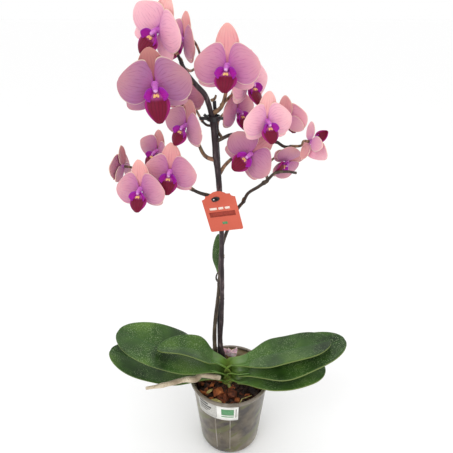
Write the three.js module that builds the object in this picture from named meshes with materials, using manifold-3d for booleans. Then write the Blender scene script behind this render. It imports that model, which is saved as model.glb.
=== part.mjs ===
// Potted moth orchid: a clear nursery pot of bark, two branching flower spikes tied to a thin
// support stick, six thick leaves, a gift tag and seventeen open flowers.
// Millimetres, +Z up, the front of the plant faces -Y. The origin is the centre of the pot's base.

import * as THREE from "three";
import { mergeVertices } from "three/addons/utils/BufferGeometryUtils.js";
import Module from "manifold-3d";

const wasm = await Module();
wasm.setup();

// Driving dimensions

const GAP = 0.4; // clear space kept between pieces that touch on the real plant

const POT_HEIGHT = 125;
const POT_RIM_RADIUS = 60;
const POT_TOP_RADIUS = 57;
const POT_BASE_RADIUS = 46;
const POT_FOOT_RADIUS = 36;
const POT_FOOT_ROUNDING = 11;
const POT_WALL = 1.2;
const POT_SIDES = 36;
const DRAIN_HOLE_RADIUS = 4.5;
const DRAIN_HOLE_COUNT = 6;
const DRAIN_HOLE_CIRCLE = 24;

const MEDIUM_TOP = 106;
const MEDIUM_CLEARANCE = 4.6; // room between bark and wall for the roots that press on the wall

const LABEL_WIDTH_ANGLE = 66; // degrees of the pot's wall that the label covers
const LABEL_HEIGHT = 31;
const LABEL_TOP = 119.5;
const LABEL_FACING = -21;
const LABEL_THICKNESS = 0.4;

const LEAF_THICKNESS = 2.2;
const PETAL_THICKNESS = 1.1;
const SPIKE_SIDES = 8;

const TAG_WIDTH = 41;
const TAG_HEIGHT = 52;
const TAG_THICKNESS = 0.8;

const COLOURS = {
  pot: 0x8d857c, bark: 0x4a2c1c, chip: 0xa5572a, straw: 0xb7a46a, label: 0xe9e9e2,
  crown: 0x4d6b22, leaf: 0x1f4a22, root: 0xb9ad94, wallRoot: 0x6f7a3c, spike: 0x3b2f31,
  greenSpike: 0x4f4a33, stick: 0x1c1f26, clip: 0x121212, tag: 0xde6854,
  petal: 0xdf9fae, lip: 0xa81463, blossom: 0xe8c6cf, keiki: 0x173c1f,
};

// Solids: joining, cutting and bending

function toSolid(geometry) {
  const bare = geometry.clone();
  bare.deleteAttribute("normal");
  bare.deleteAttribute("uv");
  const merged = mergeVertices(bare, 1e-4);
  return new wasm.Manifold(new wasm.Mesh({
    numProp: 3,
    vertProperties: new Float32Array(merged.attributes.position.array),
    triVerts: new Uint32Array(merged.index.array),
  }));
}

function toGeometry(solid) {
  const mesh = solid.getMesh();
  const geometry = new THREE.BufferGeometry();
  geometry.setAttribute("position", new THREE.BufferAttribute(mesh.vertProperties, 3));
  geometry.setIndex(new THREE.BufferAttribute(mesh.triVerts, 1));
  return geometry;
}

function joined(geometries) {
  const solids = geometries.map(toSolid);
  return toGeometry(solids.reduce((whole, piece) => whole.add(piece)));
}

function bend(geometry, place) {
  const position = geometry.attributes.position;
  const vertex = new THREE.Vector3();
  for (let i = 0; i < position.count; i += 1) {
    vertex.fromBufferAttribute(position, i);
    const moved = place(vertex);
    position.setXYZ(i, moved.x, moved.y, moved.z);
  }
  return geometry;
}

// A thin blade, such as a petal or a leaf: surface(side, along) gives its middle surface, with
// side running from -1 to 1 across it and along from 0 at the base to 1 at the tip.
function blade(surface, thickness, acrossSteps, alongSteps) {
  const box = new THREE.BoxGeometry(2, 1, 1, acrossSteps, alongSteps, 1);
  const STEP = 0.01;
  return bend(box, (v) => {
    const along = v.y + 0.5;
    const before = surface(v.x - STEP, along);
    const across = surface(v.x + STEP, along).sub(before);
    const back = surface(v.x, Math.max(along - STEP, 0));
    const forward = surface(v.x, Math.min(along + STEP, 1)).sub(back);
    const normal = across.cross(forward).normalize();
    return surface(v.x, along).addScaledVector(normal, v.z * thickness);
  });
}

// A round stalk along a smooth line through points, its radius read evenly from radii.
function stalk(points, radii, steps, sides = SPIKE_SIDES) {
  const line = new THREE.CatmullRomCurve3(points.map((p) => new THREE.Vector3(...p)));
  const frames = line.computeFrenetFrames(steps, false);
  const rod = new THREE.CylinderGeometry(1, 1, 1, sides, steps);
  return bend(rod, (v) => {
    const along = v.y + 0.5;
    const i = Math.round(along * steps);
    const place = along * (radii.length - 1);
    const low = Math.min(Math.floor(place), radii.length - 2);
    const radius = THREE.MathUtils.lerp(radii[low], radii[low + 1], place - low);
    return line.getPointAt(along)
      .addScaledVector(frames.normals[i], -v.x * radius)
      .addScaledVector(frames.binormals[i], v.z * radius);
  });
}

// Turned shapes are made about +Y and stood up to point along +Z.
function upright(geometry) {
  return geometry.rotateX(Math.PI / 2);
}

const orchid = new THREE.Group();

function addPiece(name, geometry, color, roughness = 0.6, parent = orchid) {
  const material = new THREE.MeshStandardMaterial({ color, roughness, metalness: 0 });
  const mesh = new THREE.Mesh(geometry, material);
  mesh.name = name;
  parent.add(mesh);
  return mesh;
}

// Pot: one thin moulded wall with a rolled rim, rounded foot and drainage holes

function potOuterRadius(z) {
  return THREE.MathUtils.mapLinear(z, POT_FOOT_ROUNDING, POT_HEIGHT, POT_BASE_RADIUS, POT_TOP_RADIUS);
}

function footCurve(inset) {
  const points = [];
  const STEPS = 4;
  for (let i = 0; i <= STEPS; i += 1) {
    const angle = (i / STEPS) * (Math.PI / 2);
    const rounding = POT_FOOT_ROUNDING - inset;
    points.push(new THREE.Vector2(
      POT_FOOT_RADIUS + (POT_BASE_RADIUS - POT_FOOT_RADIUS - inset) * Math.sin(angle),
      POT_FOOT_ROUNDING - rounding * Math.cos(angle),
    ));
  }
  return points;
}

function potGeometry() {
  const RIM_DEPTH = 4;
  const rimBottom = POT_HEIGHT - RIM_DEPTH;
  const outer = footCurve(0);
  const inner = footCurve(POT_WALL).reverse();
  const profile = [
    new THREE.Vector2(0, 0),
    ...outer,
    new THREE.Vector2(potOuterRadius(rimBottom), rimBottom),
    new THREE.Vector2(POT_RIM_RADIUS, rimBottom + 0.6),
    new THREE.Vector2(POT_RIM_RADIUS, POT_HEIGHT - 0.6),
    new THREE.Vector2(POT_RIM_RADIUS - 0.8, POT_HEIGHT),
    new THREE.Vector2(POT_TOP_RADIUS - POT_WALL, POT_HEIGHT),
    ...inner,
    new THREE.Vector2(0, POT_WALL),
  ];
  let pot = toSolid(upright(new THREE.LatheGeometry(profile, POT_SIDES)));
  for (let i = 0; i < DRAIN_HOLE_COUNT; i += 1) {
    const angle = (i / DRAIN_HOLE_COUNT) * 2 * Math.PI;
    const drill = new THREE.CylinderGeometry(DRAIN_HOLE_RADIUS, DRAIN_HOLE_RADIUS, 3 * POT_WALL, 12);
    drill.rotateX(Math.PI / 2);
    drill.translate(
      DRAIN_HOLE_CIRCLE * Math.cos(angle), DRAIN_HOLE_CIRCLE * Math.sin(angle), POT_WALL / 2,
    );
    pot = pot.subtract(toSolid(drill));
  }
  return toGeometry(pot);
}

// The wall's own directions: angle 0 faces the front, positive turns to the plant's right.
function onWall(degrees, radius, z) {
  const angle = THREE.MathUtils.degToRad(degrees);
  return new THREE.Vector3(radius * Math.sin(angle), -radius * Math.cos(angle), z);
}

function labelGeometry() {
  const bottom = LABEL_TOP - LABEL_HEIGHT;
  const surface = (side, along) => {
    const z = bottom + along * LABEL_HEIGHT;
    const degrees = LABEL_FACING + side * (LABEL_WIDTH_ANGLE / 2);
    return onWall(degrees, potOuterRadius(z) + GAP + LABEL_THICKNESS / 2, z);
  };
  return blade(surface, LABEL_THICKNESS, 14, 1);
}

// Bark: one body of packed bark, with loose chips lying on top of it

const STICK_RADIUS = 2.1;
const STICK_LINE = [
  [-16, 17, 40], [-16.6, 18.6, 166], [-16.6, 18.4, 214], [-15.4, 17.4, 251], [-13.8, 16, 286],
  [-12.8, 14.8, 326], [-12.6, 13.2, 363], [-13, 9.6, 410], [-14.2, 8.4, 449], [-15.8, 8, 479],
  [-17.4, 8, 503], [-18.6, 8, 522],
];
const STICK_STEPS = 16;

function stickGeometry(extra = 0) {
  const radius = STICK_RADIUS + extra;
  return stalk(STICK_LINE, [radius, radius], STICK_STEPS, 6);
}

function barkRadius(z) {
  return potOuterRadius(z) - POT_WALL - MEDIUM_CLEARANCE;
}

function barkGeometry() {
  const FLOOR = POT_WALL + GAP;
  const SIDES = 28;
  const profile = [
    new THREE.Vector2(0, FLOOR),
    new THREE.Vector2(POT_FOOT_RADIUS - 2, FLOOR),
    new THREE.Vector2(barkRadius(POT_FOOT_ROUNDING) - 1, POT_FOOT_ROUNDING + 3),
    new THREE.Vector2(barkRadius(60), 60),
    new THREE.Vector2(barkRadius(MEDIUM_TOP), MEDIUM_TOP - 3),
    new THREE.Vector2(40, MEDIUM_TOP),
    new THREE.Vector2(0, MEDIUM_TOP + 3),
  ];
  const whole = toSolid(upright(new THREE.LatheGeometry(profile, SIDES)));
  const stickHole = toSolid(stickGeometry(GAP));
  const crownPit = toSolid(crownGeometry(GAP));
  return toGeometry(whole.subtract(stickHole).subtract(crownPit));
}

// name, centre, size, turn in degrees about +Z and lean in degrees
const CHIPS = [
  ["bark_chip_left", [-17, -24, 112], [13, 9, 4], 25, 10],
  ["bark_chip_centre", [3, -30, 112.5], [11, 10, 6], -20, 8],
  ["bark_chip_right", [36, -26, 112], [16, 7, 4], -50, 8],
  ["bark_chip_back", [17, 30, 112], [15, 9, 4], 15, -8],
];

function chipGeometry(size) {
  const lump = new THREE.IcosahedronGeometry(0.6, 0);
  return lump.scale(...size);
}

// Roots that run down between the bark and the clear wall
const WALL_ROOT_RADIUS = 1.5;
const WALL_ROOTS = [
  { name: "pot_root_left", turns: [-62, -40, -28, -6, 14], heights: [98, 76, 58, 40, 22] },
  { name: "pot_root_right", turns: [72, 50, 40, 24, 30], heights: [94, 78, 60, 42, 24] },
];

function wallRootGeometry({ turns, heights }) {
  const line = turns.map((turn, i) => {
    const z = heights[i];
    return onWall(turn, potOuterRadius(z) - POT_WALL - MEDIUM_CLEARANCE / 2, z).toArray();
  });
  return stalk(line, [WALL_ROOT_RADIUS * 0.7, WALL_ROOT_RADIUS, WALL_ROOT_RADIUS * 0.6], 12, 5);
}

// Crown: the short stem, wrapped by the bases of the leaves that stand in two ranks

const CROWN_FOOT = 99;
const CROWN_TOP = 150;

function crownGeometry(extra = 0) {
  const block = new THREE.CylinderGeometry(1, 1, 1, 12, 4);
  return bend(block, (v) => {
    const along = v.y + 0.5;
    const wide = 10 + 6 * Math.sin(along * 2.2) + extra;
    const deep = 8 + 1.5 * Math.sin(along * 2.2) + extra;
    const z = THREE.MathUtils.lerp(CROWN_FOOT - extra, CROWN_TOP + extra, along);
    return new THREE.Vector3(-3 + v.x * wide, -3 - v.z * deep, z);
  });
}

// Leaves: midrib points from base to tip, greatest width, the slope in degrees of the blade
// across the midrib (its back edge is the high one), how deep the edges fold up from it, and
// how blunt the tip is.
const LEAVES = [
  {
    name: "leaf_left_low", width: 68, slope: [6, 8], fold: 0.12, blunt: 2.6,
    midrib: [[-20, -5, 123], [-62, -2, 134], [-103, -3, 142], [-142, -2, 153], [-176, 4, 166]],
  },
  {
    name: "leaf_left_large", width: 76, slope: [6, 12], fold: 0.12, blunt: 2.4,
    midrib: [[-20, -3, 136], [-66, -6, 166], [-114, -6, 187], [-162, 8, 198]],
  },
  {
    name: "leaf_left_small", width: 46, slope: [0, 0], fold: 0.3, blunt: 1.7,
    midrib: [[-19, -3, 149], [-47, -12, 180], [-71, -16, 190], [-102, -18, 189]],
  },
  {
    name: "leaf_right_low", width: 66, slope: [6, 9], fold: 0.12, blunt: 2.8,
    midrib: [[14, -8, 119], [47, -12, 135], [81, -13, 139], [110, -11, 144], [139, -5, 144]],
  },
  {
    name: "leaf_right_middle", width: 72, slope: [6, 10], fold: 0.12, blunt: 2.2,
    midrib: [[15, -6, 131], [51, -9, 152], [84, -9, 160], [118, -5, 171], [168, 8, 182]],
  },
  {
    name: "leaf_right_top", width: 56, slope: [0, 2], fold: 0.14, blunt: 3,
    midrib: [[14, -4, 145], [46, -7, 163], [95, -7, 179], [144, 1, 187]],
  },
];
const LEAF_ACROSS_STEPS = 4;
const LEAF_ALONG_STEPS = 12;
const LEAF_BROADEST = 0.42; // where the blade is broadest, as a part of its length

// Half of a blade's width, as a part of its greatest width
function leafHalfWidth(along, blunt) {
  const BASE_SHARE = 0.36;
  const TIP_SHARE = 0.99;
  const spread = THREE.MathUtils.smoothstep(along, 0, LEAF_BROADEST);
  const past = Math.max(0, (along - LEAF_BROADEST) / (1 - LEAF_BROADEST));
  const rounding = Math.sqrt(1 - Math.pow(TIP_SHARE * past, blunt));
  return 0.5 * THREE.MathUtils.lerp(BASE_SHARE, 1, spread) * rounding;
}

function leafSurface({ width, slope, fold, blunt, midrib }) {
  const line = new THREE.CatmullRomCurve3(midrib.map((p) => new THREE.Vector3(...p)));
  return (side, along) => {
    const lean = THREE.MathUtils.degToRad(THREE.MathUtils.lerp(slope[0], slope[1], Math.min(2 * along, 1)));
    const forward = line.getTangentAt(along);
    const across = new THREE.Vector3(0, Math.cos(lean), Math.sin(lean));
    across.addScaledVector(forward, -across.dot(forward)).normalize();
    const up = new THREE.Vector3().crossVectors(across, forward);
    up.multiplyScalar(Math.sign(up.z));
    const half = leafHalfWidth(along, blunt) * width;
    return line.getPointAt(along)
      .addScaledVector(across, side * half)
      .addScaledVector(up, fold * half * Math.pow(Math.abs(side), 1.4));
  };
}

function leafGeometry(leaf, stems) {
  let solid = toSolid(blade(leafSurface(leaf), LEAF_THICKNESS, LEAF_ACROSS_STEPS, LEAF_ALONG_STEPS));
  for (const stem of stems) {
    solid = solid.subtract(stem);
  }
  return toGeometry(solid);
}

// Aerial root: it leaves the crown and lies over the pot's rim

const AERIAL_ROOT_LINE = [
  [-15, -12.5, 128], [-25, -15, 133], [-33.5, -17, 137], [-42.5, -20, 141.4], [-48.5, -27, 141],
  [-62, -33, 146.5], [-84, -39, 145], [-104, -41, 141], [-118.5, -41, 138],
];
const AERIAL_ROOT_RADII = [2.6, 3, 2.8, 2.4, 1.2];

// Flower spikes. Every line runs from its root end to its free end.

const SPIKE_A_SHAFT = [
  [-6, 10.7, 120], [-10, 11.4, 146], [-14, 9, 175], [-12.3, 5, 220], [-11.4, 2, 257], [-11.1, 0.6, 284],
  [-11.3, 0, 323], [-11.2, 0, 360], [-12.5, 0, 401], [-13.6, 0, 420], [-15.2, 0, 443], [-17.4, 0, 461],
  [-18, 0, 475], [-18.8, 0, 487], [-20.3, -0.4, 501], [-21.7, -1, 511],
];
const SPIKE_A_RADII = [3.6, 3.2, 3, 2.9, 2.8, 2.8, 2.9, 2.9, 2.8];
const SPIKE_A_BRANCHES = [
  {
    line: [[-21.5, -1, 508], [-24.5, -4, 521], [-28, -7, 531], [-36, -8, 540], [-47, 0, 552], [-57, 10, 570]],
    radii: [2.7, 2.4, 2.1, 1.6],
  },
  {
    line: [[-18.5, 0, 478], [-12, 1, 481], [-1, 5, 485], [12, 7, 485], [24, 8, 483.5], [41, 12, 479.5],
      [54, 14, 474], [62, 12, 469.5], [70, 10, 470]],
    radii: [2.3, 2, 1.9, 1.8],
  },
  {
    line: [[-14, 0, 408], [-25, -1, 413], [-38, -0.5, 417], [-51, 2, 423], [-70, 6, 431], [-92, 11, 439]],
    radii: [2.4, 2.1, 1.9, 1.6],
  },
  { line: [[-20, 0, 497], [-26, 4, 496], [-33, 12, 499]], radii: [1.7, 1.6, 1.5] },
];
const SPIKE_B_SHAFT = [
  [-18, 10.6, 124], [-21.4, 12, 146], [-22.6, 13.4, 164], [-22.3, 12.4, 200], [-19.6, 10.2, 232],
  [-16.4, 8.4, 262], [-14.4, 8.2, 290], [-13.6, 8.2, 312], [-12.2, 8.4, 332], [-8.4, 10, 348],
  [-3, 10.6, 364], [2.6, 9.6, 380], [9.2, 7.6, 393.6], [15.5, 4.8, 403.4], [20, 2.8, 414], [33.5, 0, 425],
  [42.6, -2, 433.4], [51, -3, 442.4], [64, -1, 443.6], [77, 2, 440.8],
];
const SPIKE_B_RADII = [3.4, 3.2, 2.9, 2.7, 2.5, 2.3, 2.1, 1.7];

// Flowers: where the column stands, the way the flower faces (degrees from the front, positive
// to the right), how far it looks up, its roll (clockwise as seen), its span across the petals,
// how far the petals cup forward, how far they are raised in degrees, and how long the top sepal is.
const FLOWERS = [
  { at: [-74, 0, 592], faces: -32, lift: 0, roll: 28, span: 64, cup: 0.14, raised: 26, dorsal: 0.54 },
  { at: [-76, -32, 544], faces: 9, lift: -5, roll: -4, span: 71, cup: 0.05, raised: 15, dorsal: 0.5 },
  { at: [-4.5, -12, 559], faces: -8, lift: 8, roll: 0, span: 66, cup: 0.04, raised: 12, dorsal: 0.62 },
  { at: [19, 20, 540], faces: 50, lift: 0, roll: 0, span: 62, cup: 0.08, raised: 9, dorsal: 0.54 },
  { at: [7, 29, 507], faces: 50, lift: 0, roll: 0, span: 56, cup: 0.08, raised: 9, dorsal: 0.54 },
  { at: [38.2, -12, 503.6], faces: 22, lift: 2, roll: 0, span: 56, cup: 0.1, raised: 12, dorsal: 0.57 },
  { at: [66, 32, 497], faces: 140, lift: 0, roll: 10, span: 50, cup: 0.1, raised: 9, dorsal: 0.54 },
  { at: [21.6, -3.4, 465], faces: -15, lift: 6, roll: 45, span: 60, cup: 0.06, raised: 9, dorsal: 0.54 },
  { at: [90, -2, 479], faces: 112, lift: -12, roll: 150, span: 46, cup: 0.5, raised: 9, dorsal: 0.54 },
  { at: [66, 17, 450], faces: 20, lift: -25, roll: 80, span: 50, cup: 0.1, raised: 9, dorsal: 0.54 },
  { at: [-49, -10, 499], faces: -38, lift: 0, roll: 16, span: 54, cup: 0.16, raised: 9, dorsal: 0.54 },
  { at: [-54, 19, 526], faces: -6, lift: 0, roll: 5, span: 48, cup: 0.05, raised: 9, dorsal: 0.54 },
  { at: [-100, -32, 433.5], faces: -18, lift: 5, roll: -4, span: 58, cup: 0.05, raised: 6, dorsal: 0.58 },
  { at: [-69, -14, 447.5], faces: -6, lift: 5, roll: 4, span: 60, cup: 0.05, raised: 6, dorsal: 0.56 },
  { at: [-88, 24, 460], faces: -42, lift: 0, roll: 18, span: 52, cup: 0.18, raised: 9, dorsal: 0.54 },
  { at: [-128, 8, 447], faces: -105, lift: 0, roll: -5, span: 46, cup: 0.14, raised: 9, dorsal: 0.54 },
  { at: [-52, 33, 582], faces: -52, lift: 0, roll: 18, span: 54, cup: 0.1, raised: 9, dorsal: 0.54 },
];
const HUB = 0.055; // radius of the flower's hub, as a part of its span
const PETAL_STEPS = [2, 3];
const SEPAL_STEPS = [1, 3];
const TEPAL_START = 0.035; // how far from the middle each tepal's claw starts, as a part of the span

// Each tepal points the given way in degrees, anticlockwise from the flower's own right. These
// are the two lower sepals; the top sepal and the petals differ from flower to flower.
const SEPALS = [
  { way: 212, length: 0.5, width: 0.34 },
  { way: 328, length: 0.5, width: 0.34 },
];

function roundedOutline(along, base, tip) {
  const fullness = Math.pow(Math.sin(Math.PI * Math.pow(along, 0.85)), 0.62);
  return THREE.MathUtils.lerp(base, tip, along) + fullness;
}

// A tepal's middle surface, in the flower's own frame: x right, y up, z out of its face.
function tepalSurface({ way, start, length, width, skew, rise, cup }) {
  const angle = THREE.MathUtils.degToRad(way);
  const out = new THREE.Vector3(Math.cos(angle), Math.sin(angle), 0);
  const across = new THREE.Vector3(Math.sin(angle), -Math.cos(angle), 0);
  return (side, evenly) => {
    const along = 0.5 - 0.5 * Math.cos(Math.PI * evenly);
    const half = 0.5 * width * roundedOutline(along, 0.1, 0.08);
    return new THREE.Vector3(0, 0, rise + cup * along * along * length)
      .addScaledVector(out, start + along * (length - start) - skew * side * half * along)
      .addScaledVector(across, side * half);
  };
}

function tepalsGeometry({ span, cup, raised, dorsal }) {
  const hub = new THREE.CylinderGeometry(HUB * span, 0.6 * HUB * span, 2 * HUB * span, 6);
  const pieces = [upright(hub)];
  const start = TEPAL_START * span;
  for (const { way, lean } of [{ way: raised, lean: 1 }, { way: 180 - raised, lean: -1 }]) {
    const surface = tepalSurface({
      way, start, length: 0.5 * span, width: 0.6 * span, skew: -0.3 * lean, rise: 0.6, cup,
    });
    pieces.push(blade(surface, PETAL_THICKNESS, ...PETAL_STEPS));
  }
  for (const { way, length, width } of [{ way: 90, length: dorsal, width: 0.36 }, ...SEPALS]) {
    const surface = tepalSurface({
      way, start, length: length * span, width: width * span, skew: 0, rise: -1.2, cup: 0.04,
    });
    pieces.push(blade(surface, PETAL_THICKNESS, ...SEPAL_STEPS));
  }
  return joined(pieces);
}

// The lip hangs from the foot of the column. Its base is a trough whose upright sides are the
// side lobes, and its middle lobe narrows to a point.
function lipGeometry({ span }) {
  const front = HUB * span + GAP;
  const column = stalk(
    [[0, 0.01 * span, front + 0.2], [0, 0.015 * span, 0.12 * span], [0, -0.02 * span, 0.19 * span]],
    [0.06 * span, 0.03 * span, 0.036 * span], 2, 5,
  );
  const lip = blade((side, along) => {
    const wide = 0.09 + 0.09 * Math.sin(Math.PI * Math.min(1.15 * along, 1));
    const upturn = 0.1 * Math.max(0, 1 - 1.6 * along) * Math.abs(side);
    const fall = 0.032 + 0.34 * along - upturn;
    const out = 0.03 + 0.17 * Math.sin(1.7 * along) + 0.5 * upturn;
    return new THREE.Vector3(side * wide * span, -fall * span, front + out * span);
  }, 1.4, 4, 3);
  return joined([column, lip]);
}

// A flower's own frame in the plant's: where it is and which way it faces, leans and rolls.
function flowerFrame({ at, faces, lift, roll }) {
  const turn = THREE.MathUtils.degToRad(faces);
  const rise = THREE.MathUtils.degToRad(lift);
  const spin = THREE.MathUtils.degToRad(roll);
  const out = new THREE.Vector3(
    Math.sin(turn) * Math.cos(rise), -Math.cos(turn) * Math.cos(rise), Math.sin(rise),
  );
  const right = new THREE.Vector3(Math.cos(turn), Math.sin(turn), 0);
  const up = new THREE.Vector3().crossVectors(out, right);
  const top = up.clone().multiplyScalar(Math.cos(spin)).addScaledVector(right, Math.sin(spin));
  const side = new THREE.Vector3().crossVectors(top, out);
  return new THREE.Matrix4().makeBasis(side, top, out).setPosition(...at);
}

// Flower stalks: flower number, the spike it grows from, and the points from there towards it
const PEDICELS = [
  { flower: 1, spike: "a", via: [[-56, 9, 568.4], [-64, 14, 582]] },
  { flower: 2, spike: "a", via: [[-38, -7, 542], [-58, -12, 548]] },
  { flower: 3, spike: "a", via: [[-21.4, -1, 510], [-13, 3, 514], [-5, 4, 536]] },
  { flower: 4, spike: "a", via: [[-11.6, 3.2, 518], [-2, 8, 526], [8, 19, 535]] },
  { flower: 5, spike: "a", via: [[-10, 1.8, 481.8], [-15, 14, 488], [-12, 30, 500]] },
  { flower: 6, spike: "a", via: [[22, 8, 484], [32, 6, 494]] },
  { flower: 7, spike: "a", via: [[50, 13.6, 476], [58, 18, 488]] },
  { flower: 8, spike: "a", via: [[-15, 0, 438], [-6, 6, 450], [8, 10, 460]] },
  { flower: 9, spike: "a", via: [[68, 12, 469.8], [80, 4, 473]] },
  { flower: 10, spike: "b", via: [[43, 0, 433], [43, 14, 438], [52, 26, 451]] },
  { flower: 11, spike: "a", via: [[-17, 0, 457], [-28, 2, 460], [-38, 4, 478]] },
  { flower: 12, spike: "a", via: [[-32, 11, 498.6], [-39, 30, 505], [-47, 39, 519]] },
  { flower: 13, spike: "a", via: [[-70, 6, 431], [-86, 4, 424], [-96, -12, 424]] },
  { flower: 14, spike: "a", via: [[-44, 0.6, 420], [-58, 0, 432]] },
  { flower: 15, spike: "a", via: [[-66, 5, 429.4], [-70, 16, 442]] },
  { flower: 16, spike: "a", via: [[-90, 10.6, 438], [-108, 12, 440]] },
  { flower: 17, spike: "a", via: [[-50, 3, 556], [-43, 20, 552], [-34, 37, 562]] },
];
const PEDICEL_RADII = [1.5, 1.3, 1.5];

function pedicelGeometry({ flower, via }) {
  const { at, span } = FLOWERS[flower - 1];
  const out = new THREE.Vector3().setFromMatrixColumn(flowerFrame(FLOWERS[flower - 1]), 2);
  const behind = (distance) => new THREE.Vector3(...at).addScaledVector(out, -distance).toArray();
  const end = HUB * span + GAP;
  return stalk([...via, behind(end + 7), behind(end)], PEDICEL_RADII, 4, 5);
}

function spikeGeometry(spike, shaft) {
  const pedicels = PEDICELS.filter((pedicel) => pedicel.spike === spike).map(pedicelGeometry);
  return joined([...shaft, ...pedicels]);
}

function spikeAGeometry() {
  const branches = SPIKE_A_BRANCHES.map(({ line, radii }) => stalk(line, radii, 2 * line.length, 6));
  return spikeGeometry("a", [stalk(SPIKE_A_SHAFT, SPIKE_A_RADII, 24), ...branches]);
}

function spikeBGeometry() {
  return spikeGeometry("b", [stalk(SPIKE_B_SHAFT, SPIKE_B_RADII, 30)]);
}

// A small dark leaf that grew from a joint of the second spike. Its own short stalk passes the
// stick, and the blade stands behind the stems.
function stemLeafGeometry() {
  const LENGTH = 62;
  const WIDTH = 16;
  const BLUNT = 1.8;
  const surface = (side, along) => new THREE.Vector3(
    -15 - 1.6 * Math.sin(Math.PI * along) + side * WIDTH * leafHalfWidth(along, BLUNT),
    20.6 + 2 * side * side,
    288 + LENGTH * along,
  );
  const ownStalk = stalk(
    [[-17.2, 10.8, 283], [-19.3, 14, 285], [-18.6, 18.4, 288.5], [-15.4, 20.5, 293]], [1.2, 1.1, 1], 8, 5,
  );
  return joined([blade(surface, 1.6, 2, 5), ownStalk]);
}

// Support stick's clip: an oval ring around the first spike and the stick, with finger tabs

const CLIP_CENTRE = [-19.6, 3.6, 505];
const CLIP_HEIGHT = 5;

function clipGeometry() {
  const RING_WALL = 1.4;
  const INSIDE = [6.4, 9];
  const outside = INSIDE.map((half) => half + RING_WALL);
  const ring = new THREE.Shape().absellipse(0, 0, ...outside, 0, 2 * Math.PI);
  ring.holes.push(new THREE.Path().absellipse(0, 0, ...INSIDE, 0, 2 * Math.PI, true));
  const band = new THREE.ExtrudeGeometry(ring, { depth: CLIP_HEIGHT, bevelEnabled: false, curveSegments: 8 });
  const leftTab = new THREE.BoxGeometry(9, 2, 3.4).translate(-11, -3, 2.6);
  const highTab = new THREE.BoxGeometry(6, 1.8, 3).rotateY(0.7).translate(-8, -3.4, 5);
  const rightTab = new THREE.BoxGeometry(4, 2, 3).translate(9, -1.5, 2.2);
  const [x, y, z] = CLIP_CENTRE;
  return joined([band, leftTab, highTab, rightTab]).translate(x, y, z - 3);
}

// Gift tag: a plain card with a stepped, scalloped head and a slanted slot

const TAG_FACING = -13;
const TAG_LEANS_BACK = -4;
const TAG_ROLL = -13.5;
const TAG_MIDDLE = [-10.6, -16, 399.9];

function tagOutline() {
  const half = TAG_WIDTH / 2;
  const foot = -TAG_HEIGHT / 2;
  const shoulder = TAG_HEIGHT / 2 - 9;
  const outline = new THREE.Shape();
  outline.moveTo(-half + 2, foot);
  outline.lineTo(half - 2, foot);
  outline.absarc(half - 2, foot + 2, 2, -Math.PI / 2, 0);
  outline.lineTo(half, shoulder);
  outline.quadraticCurveTo(half - 5, shoulder + 0.6, half - 5.4, shoulder + 4.6);
  outline.quadraticCurveTo(half - 10.6, shoulder + 4.2, half - 11.4, shoulder + 6.4);
  outline.quadraticCurveTo(0, shoulder + 12, -half + 11.4, shoulder + 6.4);
  outline.quadraticCurveTo(-half + 10.6, shoulder + 4.2, -half + 5.4, shoulder + 4.6);
  outline.quadraticCurveTo(-half + 5, shoulder + 0.6, -half, shoulder);
  outline.lineTo(-half, foot + 2);
  outline.absarc(-half + 2, foot + 2, 2, Math.PI, 1.5 * Math.PI);
  const slot = new THREE.Path();
  slot.absellipse(-3.5, shoulder - 0.4, 5.4, 2.4, 0, 2 * Math.PI, true, 0.15);
  outline.holes.push(slot);
  return outline;
}

function tagGeometry() {
  const sheet = { depth: TAG_THICKNESS, bevelEnabled: false, curveSegments: 4 };
  return new THREE.ExtrudeGeometry(tagOutline(), sheet);
}

function tagFrame() {
  return flowerFrame({ at: TAG_MIDDLE, faces: TAG_FACING, lift: TAG_LEANS_BACK, roll: TAG_ROLL });
}

// The black hook that holds the tag: through the slot and around the first spike
function tagHookGeometry() {
  const line = [
    [-20.4, -18.6, 413], [-17.6, -17.8, 415.4], [-17.8, -12, 415.2], [-17.2, -5, 414.6], [-18.4, -0.4, 416.5],
    [-15.6, 4.4, 417],
  ];
  return stalk(line, [1.1, 1.2, 1], 10, 6);
}

// Fallen blossom: a wilted flower lying crumpled behind the crown
function blossomGeometry() {
  const ball = new THREE.SphereGeometry(1, 9, 7);
  return bend(ball, (v) => {
    const turn = Math.atan2(v.z, v.x);
    const fold = 1 + 0.2 * Math.sin(3 * turn) * (1 - v.y * v.y);
    return new THREE.Vector3(v.x * 10.5 * fold, 27 - v.z * 9 * fold, 142 + v.y * 8);
  });
}

// The assembled plant

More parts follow.
